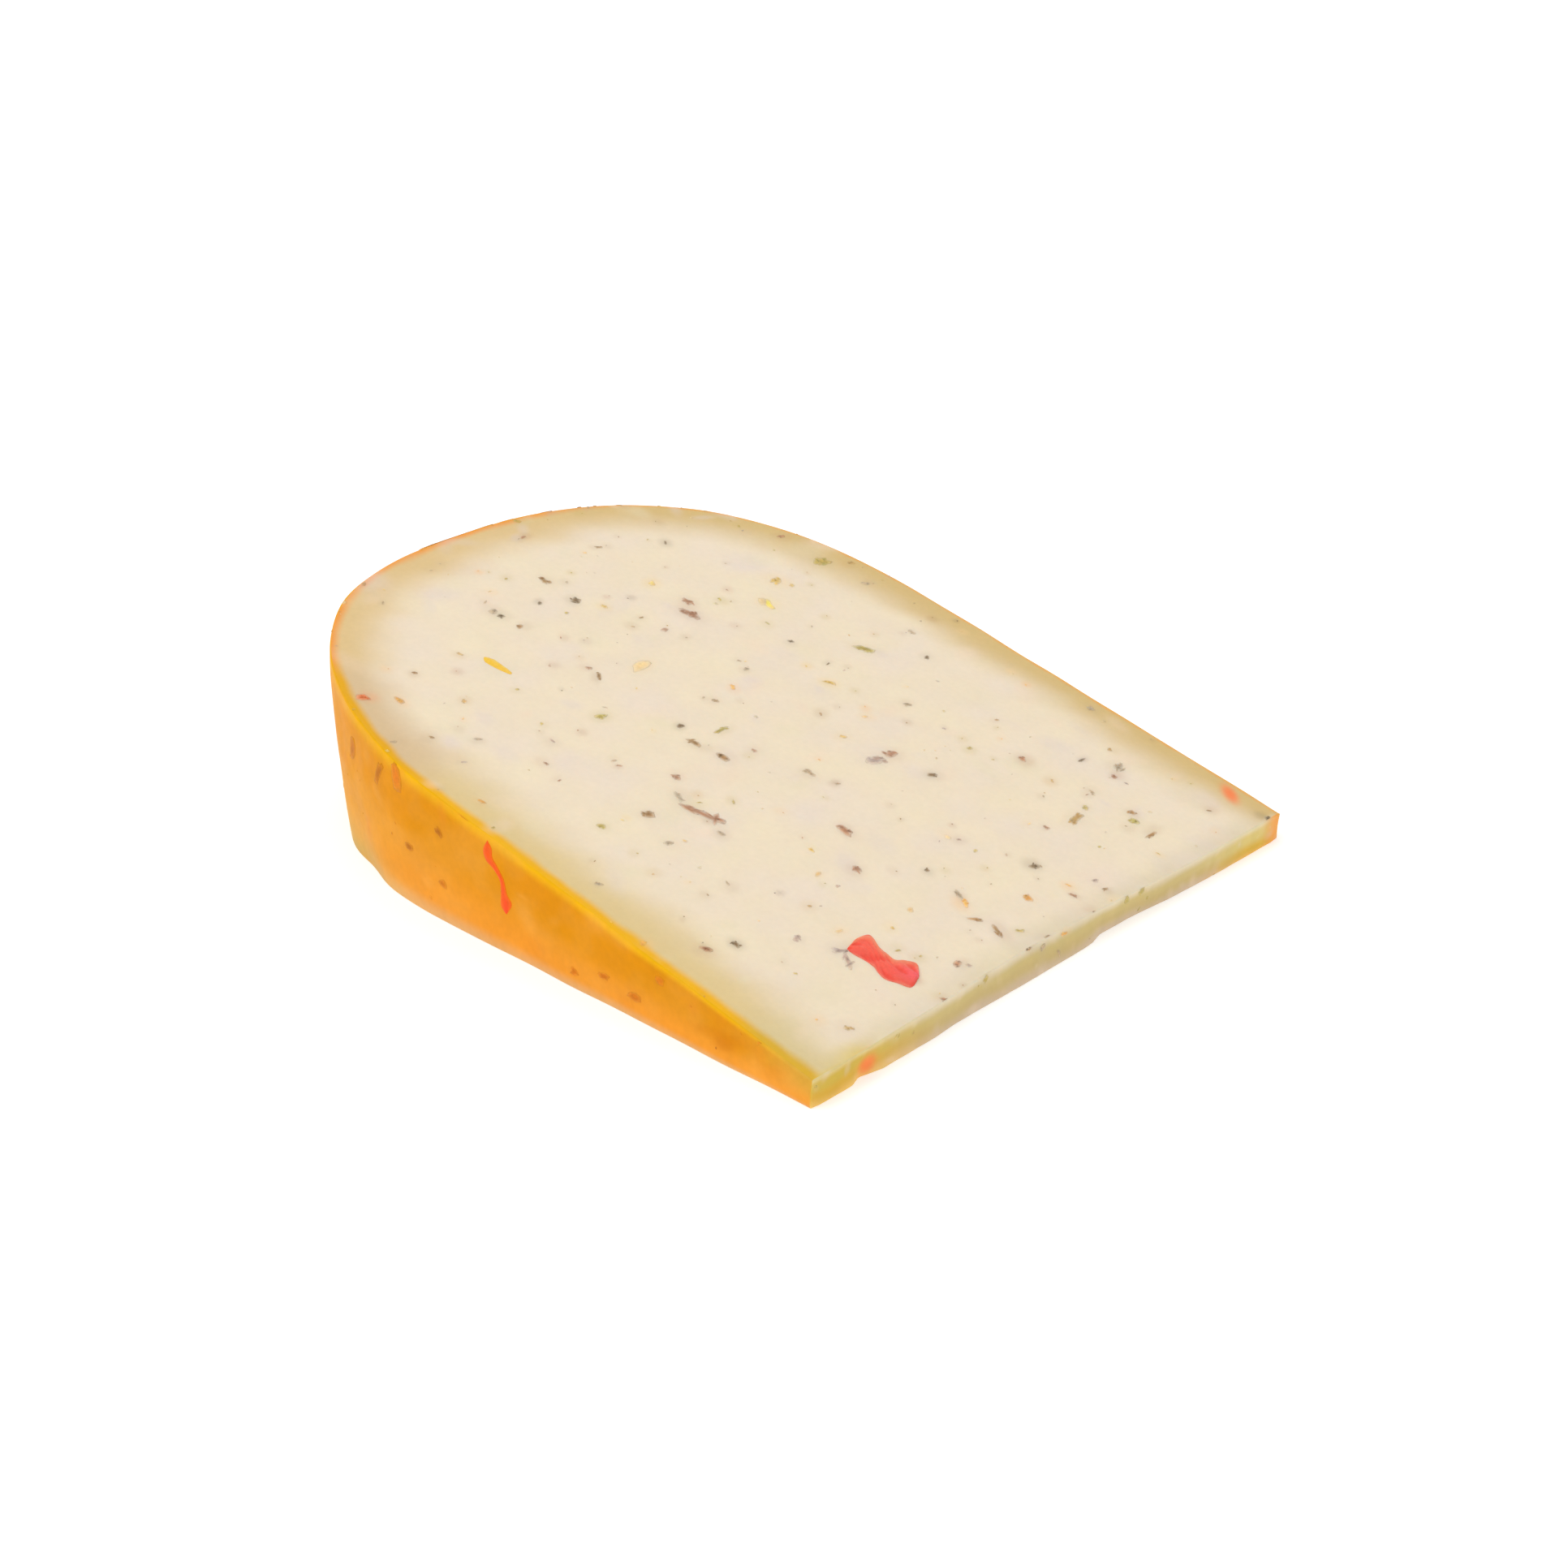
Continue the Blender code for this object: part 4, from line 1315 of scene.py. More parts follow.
def make_piece(
    name: str, patch: Patch, materials: list, slots: Array | None = None
) -> bpy.types.Object:
    """Makes a smooth mesh piece with its colour attribute and its faces pointing out.

    Args:
        name: the piece's name.
        patch: its points, faces and colours.
        materials: the piece's materials.
        slots: the material index of each face, or None where there is one material.

    Returns:
        The object, linked to the scene and riding on the wedge's body.
    """
    mesh = bpy.data.meshes.new(name)
    mesh.from_pydata(patch.points.tolist(), [], patch.faces)
    for material in materials:
        mesh.materials.append(material)
    if slots is not None:
        mesh.polygons.foreach_set("material_index", slots)
    shape = bmesh.new()
    shape.from_mesh(mesh)
    bmesh.ops.recalc_face_normals(shape, faces=shape.faces)
    shape.to_mesh(mesh)
    shape.free()
    attribute = mesh.attributes.new(TONE, "FLOAT_COLOR", "POINT")
    tones = np.clip(patch.tones, 0.0, 1.0)
    colours = np.concatenate([tones, np.ones((len(tones), 1))], axis=1)
    attribute.data.foreach_set("color", colours.astype(np.float32).ravel())
    mesh.shade_smooth()
    mesh.update()
    piece = bpy.data.objects.new(name, mesh)
    bpy.context.scene.collection.objects.link(piece)
    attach(piece, BODY)
    LOG.info("%s: %d faces", name, len(mesh.polygons))
    return piece


@dataclass
class Wedge:
    """The wedge itself: paste with its coated rind, one closed mesh."""

    outline: Outline
    cut: CutFace
    rind: Rind
    tip: TipCut
    ground: Ground
    edge: float = 0.25 * MM
    turns: tuple[float, ...] = (0.25, 0.5, 0.75)
    wall_rows: int = 32
    stride: int = 6
    crease: float = math.radians(40.0)

    def build(self, materials: list) -> bpy.types.Object:
        """Builds the mesh and colours it.

        Args:
            materials: the paste's material and the coating's.

        Returns:
            The piece.
        """
        outline, wheel = self.outline, self.outline.wheel
        count = len(outline.along)
        upper = self.face_plan(1.0)
        lower = self.face_plan(0.0)
        top = self.cut.at(*upper, np.zeros_like(upper[0])).reshape(-1, 3)
        bottom = wheel.place(*lower, np.zeros_like(lower[0]))

        rows, columns = upper[0].shape
        grid = np.arange(rows * columns).reshape(rows, columns)
        loop = self.loop_cells()
        wall, travel, height = self.wall_points(top[grid[loop]], bottom[loop])
        wall_index = rows * columns + np.arange(wall.shape[0] * count).reshape(-1, count)
        lower_index, used = self.lower_cells(loop, rows * columns + wall.shape[0] * count)

        points = np.concatenate([top, wall.reshape(-1, 3), bottom[used]])
        faces, slots = self.faces(grid, wall_index, lower_index, loop)
        tone = np.concatenate([
            self.ground.tone(CutFace, upper[0].ravel(), upper[1].ravel()),
            self.wall_tone(travel, height).reshape(-1, 3),
            self.ground.paste.at(outline, lower[0][used], lower[1][used]),
        ])
        piece = make_piece(NODE + "_paste", Patch(points, faces, tone), materials, slots)
        piece.data.set_sharp_from_angle(angle=self.crease)
        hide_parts(NODE)
        return piece

    def face_plan(self, share: float) -> tuple[Array, Array]:
        """The plan grid of a cut face, whose border is the outline drawn in by the rounding."""
        along, across = self.outline.plan(np.full(len(self.outline.along), share))
        drawn_in = self.outline.out * self.edge
        return self.outline.fill(along - drawn_in[:, 0], across - drawn_in[:, 1])

    def loop_cells(self) -> tuple[Array, Array]:
        """The grid's row and column of each point of the outline's loop."""
        rows, columns = self.outline.side_cells, self.outline.cross_cells
        row = np.concatenate([
            np.arange(rows), np.full(columns, rows), np.arange(rows, 0, -1), np.zeros(columns, int)
        ])
        column = np.concatenate([
            np.zeros(rows, int), np.arange(columns), np.full(rows, columns), np.arange(columns, 0, -1)
        ])
        return row, column

    def wall_points(self, top: Array, bottom: Array) -> tuple[Array, Array, Array]:
        """The wall's points between the two cut faces, with both edges rounded.

        Args:
            top, bottom: the two faces' outermost points, one row for each point of the loop.

        Returns:
            Rows of points from the bottom up, and for each point its travel and its height.
        """
        outline, wheel = self.outline, self.outline.wheel
        full = wheel.wall_height(outline.along)
        inset = self.edge / full
        steps = np.linspace(0.0, 1.0, self.wall_rows + 1)[:, None]
        height = full * (inset + (1.0 - 2.0 * inset) * steps)
        wall = self.wall_at(height)
        ends = self.wall_at(np.stack([np.zeros_like(full), full]))
        low = self.rounded(bottom, ends[0], wall[0])
        high = self.rounded(wall[-1], ends[1], top)
        points = np.concatenate([low, wall, high])
        height = np.concatenate([low[..., 2], height, high[..., 2]])
        return points, np.broadcast_to(outline.travel, height.shape), np.minimum(height, full)

    def rounded(self, first: Array, corner: Array, last: Array) -> Array:
        """Rows of points between two others, round a corner: a quadratic Bezier curve."""
        t = np.array(self.turns)[:, None, None]
        return (1 - t) ** 2 * first + 2 * t * (1 - t) * corner + t**2 * last

    def wall_at(self, height: Array) -> Array:
        """Points of the wall: of the tip cut where the loop runs along it, else of the rind."""
        zero = np.zeros_like(height)
        on_rind = self.rind.at(np.broadcast_to(self.outline.travel, height.shape), height, zero)
        on_tip = self.tip.at(np.broadcast_to(self.outline.across, height.shape), height, zero)
        return np.where(self.outline.on_tip[None, :, None], on_tip, on_rind)

    def wall_tone(self, travel: Array, height: Array) -> Array:
        """The wall's colours, stains included."""
        on_rind = self.ground.tone(Rind, travel, height)
        on_tip = self.ground.tone(TipCut, np.broadcast_to(self.outline.across, height.shape), height)
        return np.where(self.outline.on_tip[None, :, None], on_tip, on_rind)

    def lower_cells(self, loop: tuple[Array, Array], start: int) -> tuple[Array, Array]:
        """Chooses the lower face's points: all of its loop, and every few lines inside.

        Args:
            loop: the grid cells of the loop's points.
            start: the index of the first of the lower face's points.

        Returns:
            The grid of point indices, with -1 where there is none, and the mask of used cells.
        """
        used = np.zeros((self.outline.side_cells + 1, self.outline.cross_cells + 1), bool)
        used[:: self.stride, :: self.stride] = True
        used[loop] = True
        index = np.full(used.shape, -1)
        index[used] = start + np.arange(used.sum())
        return index, used

    def faces(
        self, grid: Array, wall: Array, lower: Array, loop: tuple[Array, Array]
    ) -> tuple[list, Array]:
        """All faces, pointing out, and the material index of each."""
        top = np.stack([grid[:-1, :-1], grid[:-1, 1:], grid[1:, 1:], grid[1:, :-1]], axis=-1)
        rings = np.concatenate([lower[loop][None], wall, grid[loop][None]])
        below, above = rings[:-1], rings[1:]
        around = np.stack(
            [np.roll(below, -1, axis=1), below, above, np.roll(above, -1, axis=1)], axis=-1
        )
        on_tip = self.outline.on_tip
        coated = ~(on_tip & np.roll(on_tip, -1))
        slots_around = np.broadcast_to(coated.astype(int), below.shape)
        under = self.lower_faces(lower)
        faces = top.reshape(-1, 4).tolist() + around.reshape(-1, 4).tolist() + under
        slots = np.concatenate([
            np.zeros(top.shape[0] * top.shape[1], int), slots_around.ravel(), np.zeros(len(under), int)
        ])
        return faces, slots

    def lower_faces(self, lower: Array) -> list:
        """The lower face's cells, a stride wide, whose outer edges keep every point of the loop."""
        stride = self.stride
        last_row, last_column = lower.shape[0] - 1, lower.shape[1] - 1
        faces = []
        for row in range(0, last_row, stride):
            for column in range(0, last_column, stride):
                below, right = row + stride, column + stride
                near_step = 1 if column == 0 else stride
                far_step = 1 if right == last_column else stride
                tip_step = 1 if row == 0 else stride
                rim_step = 1 if below == last_row else stride
                faces.append([
                    *lower[row:below:near_step, column],
                    *lower[below, column:right:rim_step],
                    *lower[below:row:-far_step, right],
                    *lower[row, right:column:-tip_step],
                ])
        return [[int(index) for index in face] for face in faces]


@dataclass
class Flakes:
    """Many small shards, each a thin, ragged lens that lies almost flush in its skin.

    Each ring of a lens is a superellipse whose radius is multiplied by 1 plus two cosines of the
    angle and a small chance part of its own at each point. The rings are, from the top down: the
    middle, two on the top, the brim just under the surface, a smaller one below it, and the lowest
    point.
    """

    seed: int
    proud: float = 0.04 * MM
    depth: float = 0.25 * MM
    sides: int = 9
    wavy: float = 0.14
    ragged: float = 0.12
    squareness: float = 2.6
    # How many times each cosine repeats round a ring
    repeats: tuple[int, int] = (2, 3)
    # How the brightness differs from shard to shard, and from point to point
    shard_shades: tuple[float, float] = (0.88, 1.10)
    point_shades: tuple[float, float] = (0.92, 1.08)
    # Of each ring: how far out it is, its lift and how far it has the colour of the ground
    reach: tuple[float, ...] = (0.0, 0.46, 0.88, 1.35, 0.7, 0.0)
    rise: tuple[float, ...] = (1.0, 1.0, 0.7, -0.4, -4.0, -6.0)
    faded: tuple[float, ...] = (0.0, 0.10, 0.50, 1.0, 0.6, 0.6)

    def lenses(
        self, bits: Bits, shades: Array, ground: Array, rng: np.random.Generator
    ) -> tuple[Array, Array]:
        """The points and colours of the lenses.

        Args:
            bits: the shards' places and sizes.
            shades: rows with each shard's own colour.
            ground: rows with the colour of the skin round each shard.
            rng: the source of chance.

        Returns:
            Points with axes shard, point, xyz, and colours laid out alike.
        """
        count = len(bits.centre)
        angle = np.linspace(0.0, math.tau, self.sides, endpoint=False)
        radius = 1.0 + rng.normal(0.0, self.ragged, (count, self.sides))
        for waves in self.repeats:
            phase = rng.uniform(0.0, math.tau, (count, 1))
            radius = radius + rng.uniform(0.0, self.wavy, (count, 1)) * np.cos(waves * angle + phase)
        power = self.squareness
        radius = radius / (np.abs(np.cos(angle)) ** power + np.abs(np.sin(angle)) ** power) ** (1 / power)
        x = bits.half[:, :1] * radius * np.cos(angle)
        y = bits.half[:, 1:] * radius * np.sin(angle)
        cosine, sine = np.cos(bits.turn)[:, None], np.sin(bits.turn)[:, None]
        first, second, lift, faded = [], [], [], []
        for out, rise, fading in zip(self.reach, self.rise, self.faded):
            ring = slice(None) if out > 0.0 else slice(0, 1)
            here_x, here_y = x[:, ring] * out, y[:, ring] * out
            first.append(bits.centre[:, :1] + here_x * cosine - here_y * sine)
            second.append(bits.centre[:, 1:] + here_x * sine + here_y * cosine)
            lift.append(np.full_like(here_x, rise * self.proud))
            faded.append(np.full_like(here_x, fading))
        places = [np.concatenate(part, axis=1) for part in (first, second)]
        points = bits.skin.at(*bits.skin.keep(*places), np.concatenate(lift, axis=1))
        fading = np.concatenate(faded, axis=1)
        fading = fading + (1.0 - fading) * bits.depth[:, None]
        shade = rng.uniform(*self.shard_shades, (count, 1, 1))
        shade = shade * rng.uniform(*self.point_shades, fading.shape + (1,))
        core = shades[:, None, :] * shade
        return points, mix(core, np.broadcast_to(ground[:, None, :], core.shape), fading)

    def lens_faces(self) -> list:
        """The faces of one lens: a fan on top, three bands, and a fan below."""
        sides = np.arange(self.sides)
        after = np.roll(sides, -1)
        *rings, last = [1 + ring * self.sides for ring in range(len(self.reach) - 1)]
        faces = np.stack([np.zeros_like(sides), rings[0] + sides, rings[0] + after], axis=1).tolist()
        for inner, outer in zip(rings[:-1], rings[1:]):
            band = [inner + sides, outer + sides, outer + after, inner + after]
            faces += np.stack(band, axis=1).tolist()
        faces += np.stack(
            [rings[-1] + sides, np.full_like(sides, last), rings[-1] + after], axis=1
        ).tolist()
        return faces

    def build(self, groups: list[Bits], ground: "Ground") -> "Patch":
        """Builds the shards of several skins' bits.

        Args:
            groups: the bits, a group for each skin.
            ground: the skins' own colours.

        Returns:
            The points, faces and colours.
        """
        rng = np.random.default_rng(self.seed)
        patches = []
        for group in groups:
            if not len(group.centre):
                continue
            bits, shades = group.shards(rng)
            under = ground.at(bits.skin, bits.centre)
            points, tones = self.lenses(bits, shades, under, rng)
            faces = [
                [corner + shard * points.shape[1] for corner in face]
                for shard in range(len(points)) for face in self.lens_faces()
            ]
            patches.append(Patch(points.reshape(-1, 3), faces, tones.reshape(-1, 3)))
        return Patch.joined(patches)


@dataclass(frozen=True)
class Ribbon:
    """A longer bit: a lens-shaped section carried along a path on a skin.

    The path is made of pairs of pixels in the photograph, the bit's two edges from one end to the
    other. The section rises `proud` above the skin and goes `depth` below it.
    """

    edges: tuple[tuple[tuple[float, float], tuple[float, float]], ...]
    first_edge: tuple[int, int, int]
    middle: tuple[int, int, int]
    end: tuple[int, int, int]
    second_edge: tuple[int, int, int]
    # The painted shade laid in the low folds of the top
    fold_shade: tuple[int, int, int]
    brim: tuple[int, int, int]
    proud: float
    depth: float
    folds: float = 0.0
    steps: int = 40
    around: int = 20
    # The powers by which the ends close and the top is flattened, and how deep the brim lies
    bluntness = 12
    flatness = 0.6
    sunk = 0.03 * MM
    # The folds: waves across, swaying by so much and so often along the bit, and two slanting sets
    # of (strength, waves across, waves along)
    swaying = (6.0, 4.0, 8.0)
    slanting = ((1.0, 3.0, -19.0), (0.7, 11.0, 31.0))
    # Where the two edges' colours begin, from the middle at 0 to the edge at 1, and how fast
    edge_from = 0.1
    edge_length = 0.8
    # How fast and how strongly the painted shade sets in in the low folds
    fold_shade_slope = 0.6
    fold_shade_strength = 0.7
    # Where the brim's colour begins, and its strength on top and underneath
    brim_from = 0.88
    brim_strength = 0.5
    under_strength = 0.6

    def build(self, view: PhotoView, skin: Skin) -> "Patch":
        """The ribbon's mesh.

        The edges are sampled evenly and smoothed. At each step the section's points run round an
        ellipse whose ends lie just under the skin. The top has lengthwise folds: its lift is
        multiplied by 1 plus `folds` times sines of the place across and along.

        Args:
            view: the photograph's camera.
            skin: the surface that carries the ribbon.

        Returns:
            The points, faces and colours.
        """
        marks = np.array(self.edges, float)
        count = len(marks)
        found = view.find(skin, marks.reshape(-1, 2)).reshape(count, 2, 2)
        stops = np.linspace(0.0, 1.0, count)
        fine = np.linspace(0.0, 1.0, self.steps)
        one = smooth_along(stops, found[:, 0], fine)
        other = smooth_along(stops, found[:, 1], fine)
        closing = np.sqrt(np.clip(1.0 - (2.0 * fine - 1.0) ** self.bluntness, 0.0, 1.0))[:, None]
        angle = np.linspace(0.0, math.tau, self.around, endpoint=False)[None, :]
        place = np.cos(angle) * closing
        waves, sway, sway_waves = self.swaying
        crease = np.sin(place * waves + sway * np.sin(fine * sway_waves)[:, None])
        for strength, by_place, by_run in self.slanting:
            crease = crease + strength * np.sin(place * by_place + fine[:, None] * by_run)
        high = np.maximum(np.sin(angle), 0.0) ** self.flatness * self.proud * closing
        low = np.minimum(np.sin(angle), 0.0) * self.depth * closing
        lift = high * (1.0 + self.folds * crease) + low - self.sunk
        middle, reach = (one + other) / 2, (other - one) / 2
        first = middle[:, :1] + reach[:, :1] * place
        second = middle[:, 1:] + reach[:, 1:] * place
        points = skin.at(*skin.keep(first, second), lift)
        run, height = np.broadcast_arrays(fine[:, None], np.sin(angle))
        tone = self.colour(run, place, crease, height)
        ends = [points[0].mean(axis=0), points[-1].mean(axis=0)]
        flat = np.concatenate([points.reshape(-1, 3), ends])
        shades = np.concatenate([tone.reshape(-1, 3), [tone[0].mean(axis=0), tone[-1].mean(axis=0)]])
        return Patch(flat, self.faces(len(flat)), shades)

    def faces(self, total: int) -> list:
        """The bands between the sections and a fan at each end."""
        index = np.arange(self.steps * self.around).reshape(self.steps, self.around)
        after = np.roll(index, -1, axis=1)
        bands = np.stack([index[:-1], after[:-1], after[1:], index[1:]], axis=-1).reshape(-1, 4)
        first = np.stack([np.full(self.around, total - 2), after[0], index[0]], axis=1)
        last = np.stack([np.full(self.around, total - 1), index[-1], after[-1]], axis=1)
        return [face for part in (bands, first, last) for face in part.tolist()]

    def colour(self, along: Array, across: Array, crease: Array, height: Array) -> Array:
        """The colours: the middle's, passing to the end's, between the edges', and painted shade in the
        low folds.
        """
        body = mix(shown(*self.middle), shown(*self.end), ease(2.0 * along - 1.0))
        tone = mix(body, shown(*self.first_edge), ease((-across - self.edge_from) / self.edge_length))
        tone = mix(tone, shown(*self.second_edge), ease((across - self.edge_from) / self.edge_length))
        # Painted shade in the low folds, where the crease dips below naught
        fold_shading = ease(-crease * self.fold_shade_slope) * self.fold_shade_strength
        tone = mix(tone, shown(*self.fold_shade), fold_shading)
        edge = ease((np.abs(across) - self.brim_from) / (1.0 - self.brim_from)) * self.brim_strength
        return mix(tone, shown(*self.brim), np.where(height > 0.0, edge, self.under_strength))


def smooth_along(stops: Array, values: Array, fine: Array) -> Array:
    """Reads rows at finer places, with a smooth curve: cubic Hermite pieces with central slopes."""
    slopes = np.gradient(values, stops, axis=0)
    index = np.clip(np.searchsorted(stops, fine, side="right") - 1, 0, len(stops) - 2)
    width = (stops[index + 1] - stops[index])[:, None]
    t = (fine - stops[index])[:, None] / width
    start = values[index] * (1 + 2 * t) * (1 - t) ** 2 + slopes[index] * width * t * (1 - t) ** 2
    end = values[index + 1] * t * t * (3 - 2 * t) + slopes[index + 1] * width * t * t * (t - 1)
    return start + end


BIG_CHILI = Ribbon(
    edges=(
        ((1043, 1171), (1044, 1168)), ((1053, 1177), (1056, 1157)), ((1066, 1184), (1071, 1152)),
        ((1077, 1192), (1082, 1166)), ((1082, 1199), (1092, 1175)), ((1091, 1207), (1103, 1183)),
        ((1107, 1212), (1116, 1184)), ((1123, 1217), (1130, 1188)), ((1132, 1206), (1133, 1202)),
    ),
    first_edge=(240, 98, 82),
    middle=(250, 102, 82),
    end=(248, 102, 108),
    # Painted highlight: the second edge's lighter orange stands in for light along that edge
    second_edge=(244, 138, 104),
    # Painted shade: the darker red in the low folds
    fold_shade=(240, 78, 62),
    brim=(238, 152, 128),
    proud=0.42 * MM,
    depth=1.0 * MM,
    folds=0.24,
    steps=96,
    around=48,
)


STRAND = Ribbon(
    edges=(
        ((600, 1035), (601, 1035)), ((595, 1046), (606, 1046)), ((598, 1059), (607, 1057)),
        ((608, 1071), (613, 1068)), ((616, 1086), (621, 1085)), ((617, 1103), (625, 1102)),
        ((617, 1116), (631, 1115)), ((623, 1127), (625, 1127)),
    ),
    first_edge=(240, 104, 12),
    middle=(244, 86, 8),
    end=(246, 70, 24),
    second_edge=(240, 104, 12),
    # Painted shade: the deeper red in the low folds
    fold_shade=(232, 84, 4),
    brim=(238, 132, 8),
    proud=0.12 * MM,
    depth=0.5 * MM,
    folds=0.12,
    steps=72,
    around=16,
)


YELLOW_STRIP = Ribbon(
    edges=(
        ((595, 808), (596, 815)), ((608, 812), (604, 820)), ((620, 820), (616, 826)),
        ((632, 829), (630, 832)),
    ),
    first_edge=(248, 209, 115),
    middle=(248, 200, 62),
    end=(249, 198, 86),
    second_edge=(246, 196, 72),
    fold_shade=(244, 198, 84),
    brim=(244, 216, 156),
    proud=0.10 * MM,
    depth=0.4 * MM,
    folds=0.15,
    steps=40,
    around=14,
)


@dataclass
class Studio:
    """A plain white floor and soft light from all round, with one broad lamp above."""

    floor_half: float = 6.0
    floor_tone: float = 0.90
    floor_glow: float = 0.32
    sky: float = 0.80
    lamp_power: float = 8.6
    lamp_size: float = 1.2
    lamp_place: tuple[float, float, float] = (-0.5, -0.7, 1.5)

    def build(self) -> None:
        """Makes the floor, the lamp and the world, and shows colours as they are."""
        scene = bpy.context.scene
        scene.view_settings.view_transform = "Standard"
        half = self.floor_half
        mesh = bpy.data.meshes.new("floor")
        corners = [(-half, -half, 0.0), (half, -half, 0.0), (half, half, 0.0), (-half, half, 0.0)]
        mesh.from_pydata(corners, [], [(0, 1, 2, 3)])
        floor = bpy.data.objects.new("floor", mesh)
        scene.collection.objects.link(floor)
        nodes = Nodes("floor")
        nodes.set(
            Base_Color=(self.floor_tone,) * 3 + (1.0,),
            Roughness=0.9,
            Specular_IOR_Level=0.0,
            Emission_Color=(1.0, 1.0, 1.0, 1.0),
            Emission_Strength=self.floor_glow,
        )
        mesh.materials.append(nodes.material)

        world = bpy.data.worlds.new("studio")
        world.use_nodes = True
        world.node_tree.nodes["Background"].inputs["Strength"].default_value = self.sky
        world.node_tree.nodes["Background"].inputs["Color"].default_value = (1.0, 1.0, 1.0, 1.0)
        scene.world = world

        light = bpy.data.lights.new("broad_lamp", "AREA")
        light.energy = self.lamp_power
        light.size = self.lamp_size
        place = np.array(self.lamp_place)
        lamp = bpy.data.objects.new("broad_lamp", light)
        stand(lamp, -place / np.linalg.norm(place), place)


@dataclass
class Strewing:
    """Bits and faint patches that are too small or too many to place one by one."""

    skins: dict[type, Skin]
    rng: np.random.Generator
    # Hidden bits begin this far round the rim, and have half lengths up to the longest
    hidden_from: float = 10 * MM
    hidden_longest: float = 0.75 * MM

    def places(self, kind: type, count: int) -> Array:
        """Chance places on a skin: on the whole cut face, round the whole wall or along the tip."""
        skin = self.skins[kind]
        wheel, outline = skin.wheel, skin.outline
        first, second = self.rng.random((2, count))
        if kind is CutFace:
            half = wheel.height / 2
            return np.stack(skin.keep(first * wheel.cut_depth, (2 * second - 1) * half), axis=1)
        if kind is Rind:
            travel = first * outline.travel[outline.far_corner]
            return np.stack([travel, second * skin.top(travel)], axis=1)
        return np.stack([(2 * first - 1) * wheel.height / 2, second * wheel.tip_height], axis=1)

    def bits(
        self, kind: type, count: int, tones: tuple[Tone, ...], longest: float = 0.44 * MM,
        buried: float = 0.75,
    ) -> Bits:
        """Small bits of the given tones, of half lengths up to the longest."""
        places = self.places(kind, count)
        return Bits.strewn(self.skins[kind], places, tones, longest, buried, self.rng)

    def hidden_bits(self, count: int) -> Bits:
        """Bits under the coating of the rim and the far side, the size of those on the near side."""
        places = self.places(Rind, count)
        rind = self.skins[Rind]
        start = rind.outline.travel[rind.outline.side_cells] + self.hidden_from
        places = places[places[:, 0] > start]
        return Bits.strewn(rind, places, COATED_TONES, self.hidden_longest, 0.0, self.rng)

    def patches(self, kind: type, count: int, sizes: tuple, colours: tuple, most: float) -> Stains:
        """Faint patches of the given colours."""
        return Stains.strewn(self.places(kind, count), sizes, colours, most, self.rng)


COATED_TONES = (Tone.LEAF, Tone.SPOT)
TIP_TONES = (Tone.TAN, Tone.OLIVE)
FINE_TONES = (Tone.GREY, Tone.OLIVE, Tone.LILAC, Tone.TAN, Tone.PEACH, Tone.AMBER)
# The tones of the cut face's small bits, the commoner ones named more than once
SMALL_TONES = (
    Tone.GREY, Tone.GREY, Tone.GREY, Tone.GREY, Tone.OLIVE, Tone.OLIVE, Tone.UMBER, Tone.UMBER,
    Tone.RUSSET, Tone.RUSSET, Tone.LILAC, Tone.TAN, Tone.DARK, Tone.AMBER, Tone.PEACH, Tone.ORANGE,
)
# The colours of the faint patches in the paste and in the coating
HAZE = ((228, 212, 204), (243, 218, 192), (234, 221, 186))
COAT_HAZE = ((228, 140, 35), (246, 176, 80))
STREWING_SEED = 71
FLAKES_SEED = 81


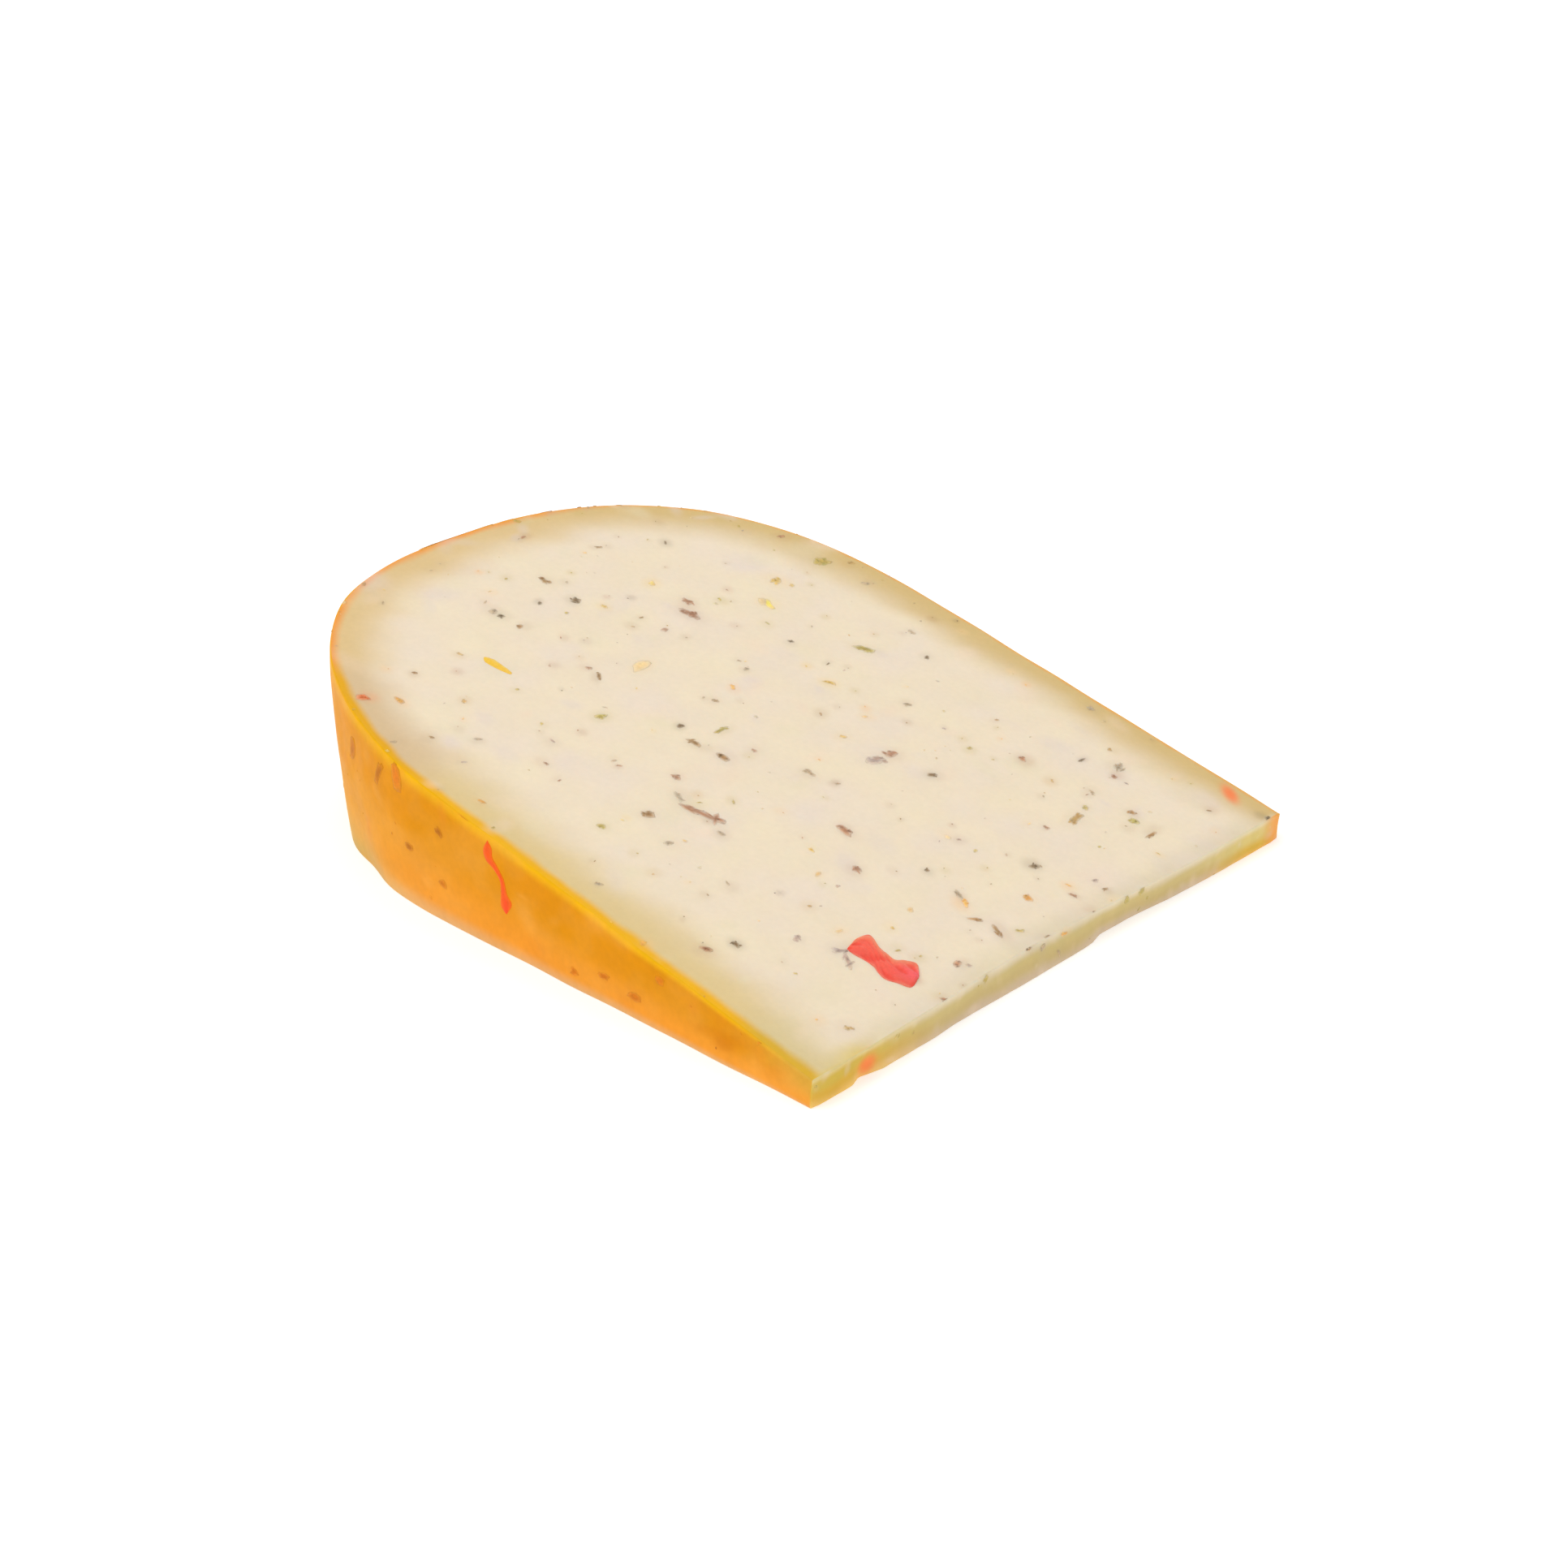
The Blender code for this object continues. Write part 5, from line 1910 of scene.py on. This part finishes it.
def main() -> None:
    """Builds the camera, the studio, the wedge and its bits."""
    logging.basicConfig(level=logging.INFO, format="%(message)s")
    wheel = Wheel()
    outline = Outline(wheel)
    view = PhotoView()
    view.build(wheel)
    Studio().build()

    cut, rind, tip = CutFace(outline), Rind(outline), TipCut(outline)
    rng = np.random.default_rng(STREWING_SEED)
    strewing = Strewing({CutFace: cut, Rind: rind, TipCut: tip}, rng)
    cut_bits = Bits.of(view, cut, CUT_MARKS)
    rind_bits = Bits.of(view, rind, RIND_MARKS)
    tip_bits = Bits.of(view, tip, TIP_MARKS)
    small_bits = strewing.bits(CutFace, count=230, tones=SMALL_TONES, longest=0.8 * MM, buried=0.25)
    ground = Ground(outline, {
        CutFace: [
            strewing.patches(CutFace, count=150, sizes=(1.0 * MM, 4.0 * MM), colours=HAZE, most=0.40),
            Stains.of(view, cut, CUT_MARKS),
            Stains.round(cut_bits, reach=0.8 * MM, rng=rng),
            Stains.round(small_bits, reach=0.7 * MM, rng=rng),
        ],
        Rind: [
            strewing.patches(Rind, count=90, sizes=(0.8 * MM, 3.0 * MM), colours=COAT_HAZE, most=0.35),
            Stains.of(view, rind, RIND_MARKS),
            Stains.round(rind_bits, reach=0.6 * MM, rng=rng),
        ],
        TipCut: [
            strewing.patches(TipCut, count=40, sizes=(0.3 * MM, 1.5 * MM), colours=HAZE, most=0.25),
            Stains.of(view, tip, TIP_MARKS),
            Stains.round(tip_bits, reach=0.5 * MM, rng=rng),
        ],
    })
    Wedge(outline, cut, rind, tip, ground).build([PasteFinish().build(), CoatingFinish().build()])

    groups = [
        cut_bits, rind_bits, tip_bits, small_bits,
        strewing.bits(CutFace, count=90, tones=FINE_TONES),
        strewing.bits(TipCut, count=9, tones=TIP_TONES),
        strewing.bits(Rind, count=40, tones=COATED_TONES),
        strewing.hidden_bits(count=70),
    ]
    herb = BitFinish("dried_herb", roughness=0.6, contrast=0.10)
    pepper = BitFinish("yellow_pepper", roughness=0.45, contrast=0.06)
    chili = BitFinish("red_chili", roughness=0.42, contrast=0.06)
    makers = {
        Kind.HERB: ("herb_flakes", "dried_herb", herb),
        Kind.PEPPER: ("pepper_bits", "yellow_pepper", pepper),
        Kind.CHILI: ("chili_bits", "red_chili", chili),
    }
    strips = {
        Kind.HERB: [],
        Kind.PEPPER: [YELLOW_STRIP.build(view, cut)],
        Kind.CHILI: [BIG_CHILI.build(view, cut), STRAND.build(view, rind)],
    }
    for seed, (kind, (name, slot, finish)) in enumerate(makers.items()):
        part = [group.of_kind(kind) for group in groups]
        flakes = Flakes(seed=FLAKES_SEED + seed).build(part, ground)
        patch = Patch.joined([flakes, *strips[kind]])
        make_piece(name, patch, [finish.build()])


if __name__ == "__main__":
    main()
